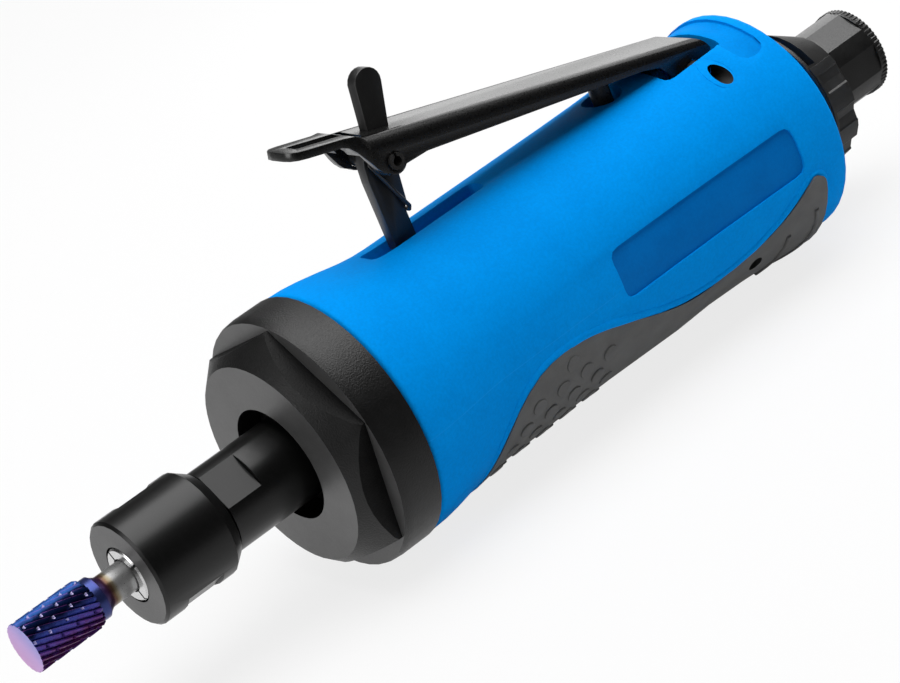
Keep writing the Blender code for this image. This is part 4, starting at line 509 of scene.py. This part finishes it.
def breakEdges(piece, width, angle):
    bevel = piece.modifiers.new("edge", "BEVEL")
    bevel.width = width
    bevel.segments = 2
    bevel.limit_method = "ANGLE"
    bevel.angle_limit = math.radians(angle)
    applyAll(piece)


def settle(piece, look):
    only(piece)
    bpy.ops.object.shade_smooth_by_angle(angle=math.radians(look.get("smooth", 16)))
    if look.get("finish"):
        piece.data.materials.clear()
        piece.data.materials.append(finishes[look["finish"]])
    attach(piece, look["body"])
    if look.get("node"):
        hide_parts(look["node"])
    return piece


def dressCopy(look):
    piece = copyOf(look["node"], look["name"])
    if look.get("edge"):
        breakEdges(piece, look["edge"], look.get("edgeAngle", 40))
    return settle(piece, look)


# bar turned on the tool axis from (x, radius) stations, by extruding and scaling a ring
def turnedBar(name, stations, sides):
    x, radius = stations[0]
    bpy.ops.object.select_all(action="DESELECT")
    bpy.ops.mesh.primitive_circle_add(vertices=sides, radius=radius, location=(x, 0, 0), rotation=(0, math.pi / 2, 0))
    piece = bpy.context.object
    piece.name = name
    bpy.ops.object.transform_apply(location=True, rotation=True, scale=True)
    editMesh(piece)
    for nextX, nextRadius in stations[1:]:
        bpy.ops.mesh.extrude_region_move(TRANSFORM_OT_translate={"value": (nextX - x, 0, 0)})
        scale = nextRadius / radius
        bpy.ops.transform.resize(value=(1, scale, scale), center_override=(nextX, 0, 0))
        x, radius = nextX, nextRadius
    bpy.ops.object.mode_set(mode="OBJECT")
    return piece


def closeEnds(piece):
    editMesh(piece)
    bpy.ops.mesh.select_all(action="DESELECT")
    bpy.ops.mesh.select_non_manifold()
    bpy.ops.mesh.fill_holes(sides=0)
    bpy.ops.mesh.select_all(action="SELECT")
    bpy.ops.mesh.normals_make_consistent(inside=False)
    bpy.ops.object.mode_set(mode="OBJECT")


def cutWith(piece, tool, operation):
    change = piece.modifiers.new("cut", "BOOLEAN")
    change.operation = operation
    change.solver = "EXACT"
    change.object = tool
    applyAll(piece)
    bpy.data.objects.remove(tool)


def addRod(radius, start, end, sides):
    start, end = Vector(start), Vector(end)
    bpy.ops.object.select_all(action="DESELECT")
    turn = (end - start).to_track_quat("Z", "X").to_euler()
    bpy.ops.mesh.primitive_cylinder_add(vertices=sides, radius=radius, depth=(end - start).length,
                                        location=(start + end) / 2, rotation=turn)
    rod = bpy.context.object
    bpy.ops.object.transform_apply(location=True, rotation=True, scale=True)
    return rod


# copies of one modelled piece at many places, joined into one mesh
def copiesAt(master, places):
    copies = []
    for place in places:
        item = bpy.data.objects.new(master.name, master.data.copy())
        item.data.transform(place)
        bpy.context.scene.collection.objects.link(item)
        copies.append(item)
    name = master.name
    bpy.data.objects.remove(master)
    bpy.ops.object.select_all(action="DESELECT")
    for item in copies:
        item.select_set(True)
    bpy.context.view_layer.objects.active = copies[0]
    bpy.ops.object.join()
    piece = bpy.context.object
    piece.name = name
    return piece


# blue moulded body: a copy of the solid with broken edges, a darker blue on the sunken panel in its side, and painted
# shade in the hood recess
housingLook = {"node": "motor_housing", "name": "bodyShell", "body": "body", "slot": "blue_body",
               "finish": "bodyBlue", "edge": 0.0002, "edgeAngle": 40, "smooth": 30,
               "frontX": -0.0563, "frontRadius": 0.0248, "frontRound": 0.0009,
               "hoodX": 0.0453, "hoodReach": 0.0038, "hoodLow": 0.0120, "hoodFloor": (0.0215, 0.0227),
               "panelX": (-0.0064, 0.0407), "panelZ": (-0.0036, 0.0065), "panelDeep": 0.0003}


def makeHousing():
    look = housingLook
    piece = copyOf(look["node"], look["name"])
    pick(piece, lambda spot: spot.x < look["frontX"] + 0.0001 and spot.yz.length > look["frontRadius"] - 0.0001)
    bpy.ops.mesh.bevel(offset=look["frontRound"], segments=4, affect="EDGES")
    bpy.ops.object.mode_set(mode="OBJECT")
    breakEdges(piece, look["edge"], look["edgeAngle"])
    settle(piece, look)
    piece.data.materials.append(finishes["panelBlueAndRecessShade"])
    piece.data.materials.append(finishes["hoodRecessShade"])
    for face in piece.data.polygons:
        middle = face.center
        out = Vector((0, middle.y, middle.z)).normalized()
        inHood = abs(middle.x - look["hoodX"]) < look["hoodReach"] and middle.z > look["hoodLow"]
        if inHood and middle.yz.length > look["hoodFloor"][0]:  # painted shade on the walls and floor of the hood recess
            facing = face.normal.dot(out)
            if abs(facing) < 0.75:
                face.material_index = 1
            elif facing > 0 and middle.yz.length < look["hoodFloor"][1]:
                face.material_index = 2
        inPanel = (middle.y < -0.015 and look["panelX"][0] < middle.x < look["panelX"][1]
                   and look["panelZ"][0] < middle.z < look["panelZ"][1])
        if inPanel:
            skin = max(piece.data.vertices[i].co.yz.length for i in face.vertices)
            ray = Vector((middle.x, 0.0, 0.0))
            face.material_index = 1 if skin < skinRadius(ray.x) - look["panelDeep"] else 0
    return piece


def skinRadius(x):
    waist, tail, start, end = 0.0223, 0.02317, 0.010, 0.0497
    share = min(max((x - start) / (end - start), 0.0), 1.0)
    return waist + (tail - waist) * (1 - math.cos(math.pi * share)) / 2


housing = makeHousing()
print("body made")


# rubber sleeve with raised dots at the front, lips at the tail and one small hole
sleeveLook = {"node": "grip_sleeve", "name": "rubberSleeve", "body": "body", "slot": "grip_rubber",
              "finish": "gripRubber", "edge": 0.00012, "edgeAngle": 50, "smooth": 30}
dotLook = {"radius": 0.0016, "height": 0.00028, "sunk": 0.0004, "firstX": -0.0395, "pitch": 0.0060, "columns": 6,
           "firstTurn": 108.5, "turnStep": 9.4, "rows": 17, "margin": 0.0021,
           "name": "gripDots", "body": "body", "slot": "grip_rubber", "finish": "gripRubber", "smooth": 40}


def onSkin(piece, x, turn):
    angle = math.radians(turn)
    out = Vector((0, -math.sin(angle), math.cos(angle)))
    found, spot, normal, index = piece.ray_cast(Vector((x, 0, 0)) + out * 0.04, -out)
    return (spot, out) if found and (spot - Vector((x, 0, 0))).length > 0.02 else (None, out)


def makeDots(sleeve):
    look = dotLook
    bpy.ops.object.select_all(action="DESELECT")
    bpy.ops.mesh.primitive_cylinder_add(vertices=18, radius=look["radius"], depth=look["height"] + look["sunk"])
    master = bpy.context.object
    master.name = look["name"]
    bevel = master.modifiers.new("edge", "BEVEL")
    bevel.width = look["height"] * 0.55
    bevel.segments = 3
    applyAll(master)
    places = []
    for row in range(look["rows"]):
        turn = look["firstTurn"] + row * look["turnStep"]
        for column in range(look["columns"]):
            x = look["firstX"] + look["pitch"] * (column + (0.5 if row % 2 else 0.0))
            around = [onSkin(sleeve, x + dx, turn + dt)[0]
                      for dx in (-look["margin"], look["margin"]) for dt in (-6.5, 6.5)]
            spot, out = onSkin(sleeve, x, turn)
            if spot is None or None in around or x > -0.010:
                continue
            lift = (look["height"] - look["sunk"]) / 2
            turned = out.to_track_quat("Z", "X").to_matrix().to_4x4()
            places.append(Matrix.Translation(spot + out * lift) @ turned)
    print("dots:", len(places))
    return settle(copiesAt(master, places), look)


lipLook = {"width": 0.0005, "name": "sleeveLips", "body": "body", "slot": "grip_rubber", "finish": "gripRubber",
           "smooth": 50,
           "paths": [[(0.0412, 120), (0.0419, 128), (0.0419, 136), (0.0412, 145), (0.0398, 154), (0.0378, 163)],
                     [(0.0346, 127), (0.0347, 133), (0.0341, 140), (0.0329, 148), (0.0312, 156)]]}


# a round strip laid along places on the skin, sunk below it
def layStrip(spots, width):
    bpy.ops.object.select_all(action="DESELECT")
    bpy.ops.curve.primitive_nurbs_path_add()
    strip = bpy.context.object
    spline = strip.data.splines[0]
    spline.points.add(len(spots) - len(spline.points))
    for point, spot in zip(spline.points, spots):
        point.co = (*spot, 1)
    spline.use_endpoint_u = True
    spline.order_u = 4
    spline.resolution_u = 6
    strip.location = (0, 0, 0)
    strip.data.bevel_depth = width
    strip.data.bevel_resolution = 2
    strip.data.use_fill_caps = True
    only(strip)
    bpy.ops.object.convert(target="MESH")
    return bpy.context.object


def joinStrips(strips, look):
    bpy.ops.object.select_all(action="DESELECT")
    for strip in strips:
        strip.select_set(True)
    bpy.context.view_layer.objects.active = strips[0]
    bpy.ops.object.join()
    piece = bpy.context.object
    piece.name = look["name"]
    return settle(piece, look)


def makeLips(sleeve):
    strips = []
    for side in (1, -1):
        for path in lipLook["paths"]:
            strips.append(layStrip([onSkin(sleeve, x, side * turn)[0] for x, turn in path], lipLook["width"]))
    return joinStrips(strips, lipLook)


# the body swells a little along the sleeve's edge
rimLook = {"width": 0.0012, "sunk": 0.00075, "away": 0.0006, "skin": 0.0228, "highest": 95,
           "edgeFrom": -0.0431, "edgeTo": 0.0411, "edgeStep": 0.0021,
           "nose": [(-0.0445, 179), (-0.0445, 168), (-0.0442, 158)],
           "tail": [(0.0430, 104.2), (0.0438, 107), (0.0440, 110), (0.0440, 121), (0.0440, 137), (0.0440, 158),
                    (0.0440, 179)],
           "name": "sleeveRim", "body": "body", "slot": "blue_body", "finish": "bodyBlue", "smooth": 50}


def sleeveEdge(sleeve, x):
    turn = rimLook["highest"]
    while turn < 180 and onSkin(sleeve, x, turn)[0] is None:
        turn += 0.5
    return turn


def makeRim(sleeve, housing):
    look = rimLook
    count = int((look["edgeTo"] - look["edgeFrom"]) / look["edgeStep"]) + 1
    upper = [look["edgeFrom"] + index * look["edgeStep"] for index in range(count)]
    line = look["nose"] + [(x, sleeveEdge(sleeve, x)) for x in upper] + look["tail"]
    flat = [Vector((x, look["skin"] * math.radians(turn))) for x, turn in line]  # the skin rolled out flat
    strips = []
    for side in (1, -1):
        spots = []
        for index, spot in enumerate(flat):
            along = (flat[min(index + 1, len(flat) - 1)] - flat[max(index - 1, 0)]).normalized()
            moved = spot + Vector((along.y, -along.x)) * look["away"]
            found, out = onSkin(housing, moved.x, side * math.degrees(moved.y / look["skin"]))
            if found is not None:
                spots.append(found - out * look["sunk"])
        strips.append(layStrip(spots, look["width"]))
    return joinStrips(strips, look)


holeLook = {"x": 0.0267, "turn": 133.4, "radius": 0.0016, "depth": 0.0012, "dark": 0.0002, "sides": 28}


def drillHole(sleeve):
    look = holeLook
    holes = []
    for side in (1, -1):
        spot, out = onSkin(sleeve, look["x"], side * look["turn"])
        drill = addRod(look["radius"], spot - out * look["depth"], spot + out * 0.002, look["sides"])
        cutWith(sleeve, drill, "DIFFERENCE")
        holes.append((spot, out))
    sleeve.data.materials.clear()
    for finish in (sleeveLook["finish"], "sealBlackAndShade"):
        sleeve.data.materials.append(finishes[finish])
    for face in sleeve.data.polygons:  # painted shade: near-black inside the holes
        face.material_index = 0
        for spot, out in holes:
            away = face.center - spot
            deep = away.dot(out)
            if deep < -look["dark"] and (away - out * deep).length < look["radius"] * 1.02:
                face.material_index = 1


sleeve = dressCopy(sleeveLook)
makeDots(sleeve)
makeLips(sleeve)
makeRim(sleeve, housing)
drillHole(sleeve)
print("sleeve made")


# black hexagonal cap, spindle, nut and collet
capLook = {"node": "nose_cap", "name": "hexCap", "body": "body", "slot": "black_steel", "finish": "capBlack",
           "smooth": 14, "flatReach": 0.0185}


def makeCap():
    look = capLook
    piece = dressCopy(look)
    piece.data.materials.append(finishes["capFlatShade"])
    for face in piece.data.polygons:  # painted shade: the wrench flats, which stand square to the axis, take a darker, less glossy copy of the cap finish
        square = abs(face.normal.x) < 0.02 and face.center.yz.length > look["flatReach"]
        flat = square and len(face.vertices) > 6 and face.area > 0.00001
        face.material_index = 1 if flat else 0
    return piece


# painted light: faces looking forward, along -x, take the lighter grey copy of the oxide
def paintEndLight(piece):
    piece.data.materials.append(finishes["paintedLightOxide"])
    for face in piece.data.polygons:
        if face.normal.x < -0.95:
            face.material_index = len(piece.data.materials) - 1


cap = makeCap()
spindle = dressCopy({"node": "spindle", "name": "blackSpindle", "body": "drive", "slot": "black_steel",
                     "finish": "blackOxide", "edge": 0.00012, "edgeAngle": 60, "smooth": 15})
nut = dressCopy({"node": "collet_nut", "name": "colletNut", "body": "nut", "slot": "black_steel",
                 "finish": "blackOxide", "edge": 0.00015, "edgeAngle": 60, "smooth": 15})
collet = dressCopy({"node": "collet", "name": "splitCollet", "body": "chuck", "slot": "dark_steel",
                    "finish": "brightSteel", "smooth": 20})
paintEndLight(cap)
paintEndLight(nut)
print("nose made")


# rotary burr: a toothed ring extruded and turned along the head, with staggered chip breakers
burrLook = {"teeth": 24, "crest": 0.0047, "faceX": -0.1273, "length": 0.0136, "steps": 42, "turn": 62,
            "profile": [1.0, 0.985, 0.965, 0.945, 0.915, 0.880], "faceEase": 0.75,
            "runOut": 0.0007, "runOutRadius": 0.92,
            "notchEvery": 15, "notchShift": 4.6, "notchDepth": 0.91,
            "glintFrom": 0.0016,
            "name": "burrHead", "body": "chuck", "slot": "burr_steel", "node": "burr", "smooth": 24}
shankLook = {"stations": [(-0.1140, 0.0038), (-0.1138, 0.0040), (-0.1121, 0.0040), (-0.1118, 0.0037),
                          (-0.1109, 0.0031), (-0.1104, 0.0030), (-0.0820, 0.0030)],
             "sides": 40, "name": "burrShank", "body": "chuck", "slot": "burr_steel", "finish": "temperedShank",
             "node": "burr", "smooth": 25}


def makeBurr():
    look = burrLook
    count = len(look["profile"])
    sides = look["teeth"] * count
    step = look["length"] / look["steps"]
    stepTurn = math.radians(look["turn"]) / look["steps"]
    face = look["faceX"]

    def ringPlace(spot):  # station along the head, tooth round it, place in the tooth
        station = int(round((spot.x - face) / step))
        slot = int(round((math.atan2(spot.z, spot.y) - station * stepTurn) * sides / math.tau)) % sides
        return station, slot // count, slot % count

    piece = turnedBar(look["name"], [(face, look["crest"])], sides)
    for place, radius in enumerate(look["profile"]):
        eased = look["faceEase"] + (1 - look["faceEase"]) * radius  # shallow gullets at the very face
        pick(piece, lambda spot: ringPlace(spot)[2] == place)
        bpy.ops.transform.resize(value=(1, eased, eased), center_override=(face, 0, 0))
    bpy.ops.mesh.select_all(action="SELECT")
    size = 1.0
    for station in range(1, look["steps"] + 1):
        x = face + station * step
        bpy.ops.mesh.extrude_region_move(TRANSFORM_OT_translate={"value": (step, 0, 0)})
        bpy.ops.transform.rotate(value=-stepTurn, orient_axis="X", center_override=(x, 0, 0))
        left = min(1.0, (face + look["length"] - x) / look["runOut"])
        nextSize = look["runOutRadius"] + (1 - look["runOutRadius"]) * left
        bpy.ops.transform.resize(value=(1, nextSize / size, nextSize / size), center_override=(x, 0, 0))
        size = nextSize
    for place, radius in enumerate(look["profile"]):  # full depth behind the face
        eased = look["faceEase"] + (1 - look["faceEase"]) * radius
        pick(piece, lambda spot: ringPlace(spot)[0] > 0 and ringPlace(spot)[2] == place)
        bpy.ops.transform.resize(value=(1, radius / eased, radius / eased), center_override=(face, 0, 0))
    deep = look["notchDepth"]

    def inNotch(spot):
        station, tooth, place = ringPlace(spot)
        phase = (station - round(tooth * look["notchShift"])) % look["notchEvery"]
        return place < 3 and phase == 0 and 0 < station < look["steps"]

    pick(piece, inNotch)
    bpy.ops.transform.resize(value=(1, deep, deep), center_override=(face, 0, 0))
    bpy.ops.object.mode_set(mode="OBJECT")
    closeEnds(piece)
    for finish in ("coatedCutter", "cutterFace", "paintedGlintLilac"):
        piece.data.materials.append(finishes[finish])
    for side in piece.data.polygons:  # ground face, and painted glints: bright lilac on the walls of the upper chip breakers only
        if side.center.x < face + 1e-6:
            side.material_index = 1
        elif side.normal.x < -0.30 and side.center.x > face + step and side.center.z > look["glintFrom"]:
            side.material_index = 2
    return settle(piece, look)


def makeShank():
    look = shankLook
    piece = turnedBar(look["name"], look["stations"], look["sides"])
    closeEnds(piece)
    return settle(piece, look)


makeBurr()
makeShank()
print("burr made")


# lever, latch and their pins
leverLook = {"node": "throttle_lever", "name": "pressLever", "body": "lever", "slot": "black_lever",
             "finish": "leverBlack", "edge": 0.0002, "edgeAngle": 55, "smooth": 40,
             "tilt": 15.1, "halfWidth": 0.00675, "level": 0.03351, "bend": 0.0021, "bendFrom": -0.0336,
             "tail": 0.0014, "tailFrom": 0.036}


def makeLever():
    look = leverLook
    piece = copyOf(look["node"], look["name"])
    tilt = math.radians(look["tilt"])
    above = Vector((math.sin(tilt), 0, math.cos(tilt)))

    def onBend(spot):  # the two long outer corners
        return (abs(spot.y) > look["halfWidth"] - 0.0002 and abs(spot.dot(above) - look["level"]) < 0.00015
                and spot.x > look["bendFrom"])

    pick(piece, lambda spot: spot.x > look["tailFrom"] and spot.dot(above) > look["level"] - 0.0002)
    bpy.ops.transform.translate(value=(look["tail"] * math.cos(tilt), 0, -look["tail"] * math.sin(tilt)))
    pick(piece, onBend)
    bpy.ops.mesh.remove_doubles(threshold=0.0008)
    pick(piece, onBend)
    bpy.ops.mesh.bevel(offset=look["bend"], segments=6, affect="EDGES", clamp_overlap=False)
    bpy.ops.object.mode_set(mode="OBJECT")
    breakEdges(piece, look["edge"], look["edgeAngle"])
    return settle(piece, look)


lever = makeLever()
latch = dressCopy({"node": "safety_latch", "name": "lockLatch", "body": "latch", "slot": "black_latch",
                   "finish": "latchBlack", "edge": 0.0003, "edgeAngle": 40, "smooth": 30})
latchPin = dressCopy({"node": "latch_pin", "name": "rollPin", "body": "lever", "slot": "dark_steel",
                      "finish": "darkSteel", "smooth": 30})
latchWire = dressCopy({"node": "latch_spring", "name": "latchWire", "body": "latch", "slot": "steel",
                       "finish": "darkSteel", "smooth": 60})
hingeLook = {"node": "lever_pivot_pin", "name": "hingePin", "body": "body", "slot": "steel", "finish": "darkSteel",
             "edge": 0.0003, "edgeAngle": 60, "smooth": 30, "setBack": 0.77}


def makeHinge():
    look = hingeLook
    piece = copyOf(look["node"], look["name"])
    pick(piece, lambda spot: abs(spot.y) > 0.009)
    bpy.ops.transform.resize(value=(1, look["setBack"], 1), center_override=(0, 0, 0))
    bpy.ops.object.mode_set(mode="OBJECT")
    breakEdges(piece, look["edge"], look["edgeAngle"])
    return settle(piece, look)


ringLook = {"x": 0.0365, "z": 0.0187, "outer": 0.00249, "bore": 0.0017, "boreX": 0.0368, "boreZ": 0.0184,
            "skin": 0.02292, "from": 0.00872, "pin": 0.00222, "pinEnd": 0.0089,
            "name": "hingeRing", "body": "body", "slot": "blue_body", "finish": "bodyBlue", "smooth": 30}


def makeRing():
    look = ringLook
    rings = []
    for side in (1, -1):
        inner, outer = (look["x"], side * look["from"], look["z"]), (look["x"], side * 0.02, look["z"])
        ring = addRod(look["outer"], inner, outer, 48)
        cutWith(ring, addRod(look["skin"], (0.02, 0, 0), (0.06, 0, 0), 160), "INTERSECT")
        cutWith(ring, addRod(look["bore"], (look["boreX"], 0, look["boreZ"]),
                             (look["boreX"], side * 0.03, look["boreZ"]), 48), "DIFFERENCE")
        cutWith(ring, addRod(look["pin"], (look["x"], 0, look["z"]), (look["x"], side * look["pinEnd"], look["z"]), 48),
                "DIFFERENCE")
        rings.append(ring)
    only(rings[0])
    rings[1].select_set(True)
    bpy.ops.object.join()
    piece = bpy.context.object
    piece.name = look["name"]
    settle(piece, look)
    piece.data.materials.append(finishes["sealBlackAndShade"])
    for face in piece.data.polygons:  # no light gets into the bore
        reach = math.hypot(face.center.x - look["boreX"], face.center.z - look["boreZ"])
        if reach < look["bore"] * 1.02 and abs(face.normal.y) < 0.3:
            face.material_index = 1
    return piece


hingePin = makeHinge()
makeRing()
plunger = dressCopy({"node": "throttle_plunger", "name": "pressPlunger", "body": "plunger", "slot": "steel",
                     "finish": "darkSteel", "smooth": 40})
print("lever made")


# exhaust collar and air inlet with its knurled end
collar = dressCopy({"node": "exhaust_deflector", "name": "exhaustCollar", "body": "deflector", "slot": "deflector",
                    "finish": "collarGrey", "edge": 0.0002, "edgeAngle": 50, "smooth": 15})
inletLook = {"node": "inlet_bushing", "name": "airInlet", "body": "body", "slot": "dark_steel",
             "finish": "inletGrey", "edge": 0.0002, "edgeAngle": 60, "smooth": 15, "bandX": 0.0775, "bandDrop": 0.975}
knurlLook = {"startX": 0.0776, "endX": 0.0793, "radius": 0.00898, "chamfer": 0.00022, "ridges": 60, "groove": 0.981,
             "name": "inletKnurl", "body": "body", "slot": "dark_steel", "finish": "inletGrey", "smooth": 20}


def makeInlet():
    look = inletLook
    piece = copyOf(look["node"], look["name"])
    pick(piece, lambda spot: spot.x > look["bandX"] and spot.yz.length > 0.0078)
    bpy.ops.transform.resize(value=(1, look["bandDrop"], look["bandDrop"]), center_override=(0.079, 0, 0))
    bpy.ops.object.mode_set(mode="OBJECT")
    breakEdges(piece, look["edge"], look["edgeAngle"])
    return settle(piece, look)


def makeKnurl():
    look = knurlLook
    low = look["radius"] - look["chamfer"]
    inner = look["radius"] * 0.9
    stations = [(look["startX"], inner), (look["startX"], low), (look["startX"] + look["chamfer"], look["radius"]),
                (look["endX"] - look["chamfer"], look["radius"]), (look["endX"], low), (look["endX"], inner)]
    piece = turnedBar(look["name"], stations, look["ridges"] * 4)
    quarter = math.tau / (look["ridges"] * 4)
    groove = look["groove"]
    pick(piece, lambda spot: spot.yz.length > inner * 1.02
         and int(round(math.atan2(spot.z, spot.y) / quarter)) % 4 in (2, 3))
    bpy.ops.transform.resize(value=(1, groove, groove), center_override=(0.0785, 0, 0))
    bpy.ops.mesh.select_all(action="DESELECT")
    bpy.ops.mesh.select_non_manifold()
    bpy.ops.mesh.bridge_edge_loops()
    bpy.ops.mesh.select_all(action="SELECT")
    bpy.ops.mesh.normals_make_consistent(inside=False)
    bpy.ops.object.mode_set(mode="OBJECT")
    return settle(piece, look)


makeInlet()
makeKnurl()
print("tail made")


# inner solids keep their shape and take a finish
inner = {
    "groundSteel": ["front_end_plate", "front_bearing_outer", "front_bearing_inner", "rear_bearing_outer",
                    "rear_bearing_inner", "wave_washer", "bearing_spacer", "rotor", "cylinder_liner",
                    "cylinder_pin", "rear_end_plate", "tip_valve", "valve_spring"],
    "phenolicBlade": ["rotor_blade_1", "rotor_blade_2", "rotor_blade_3", "rotor_blade_4", "rotor_blade_5"],
    "turnedBrass": ["plunger_bushing", "valve_seat", "inlet_screen"],
    "sealBlackAndShade": ["plunger_seal", "inlet_seal"],
    "darkFeltAndShade": ["front_seal", "exhaust_muffler"],
}
for finish, names in inner.items():
    for name in names:
        nodes[name].data.materials.clear()
        nodes[name].data.materials.append(finishes[finish])
print("inner solids finished")
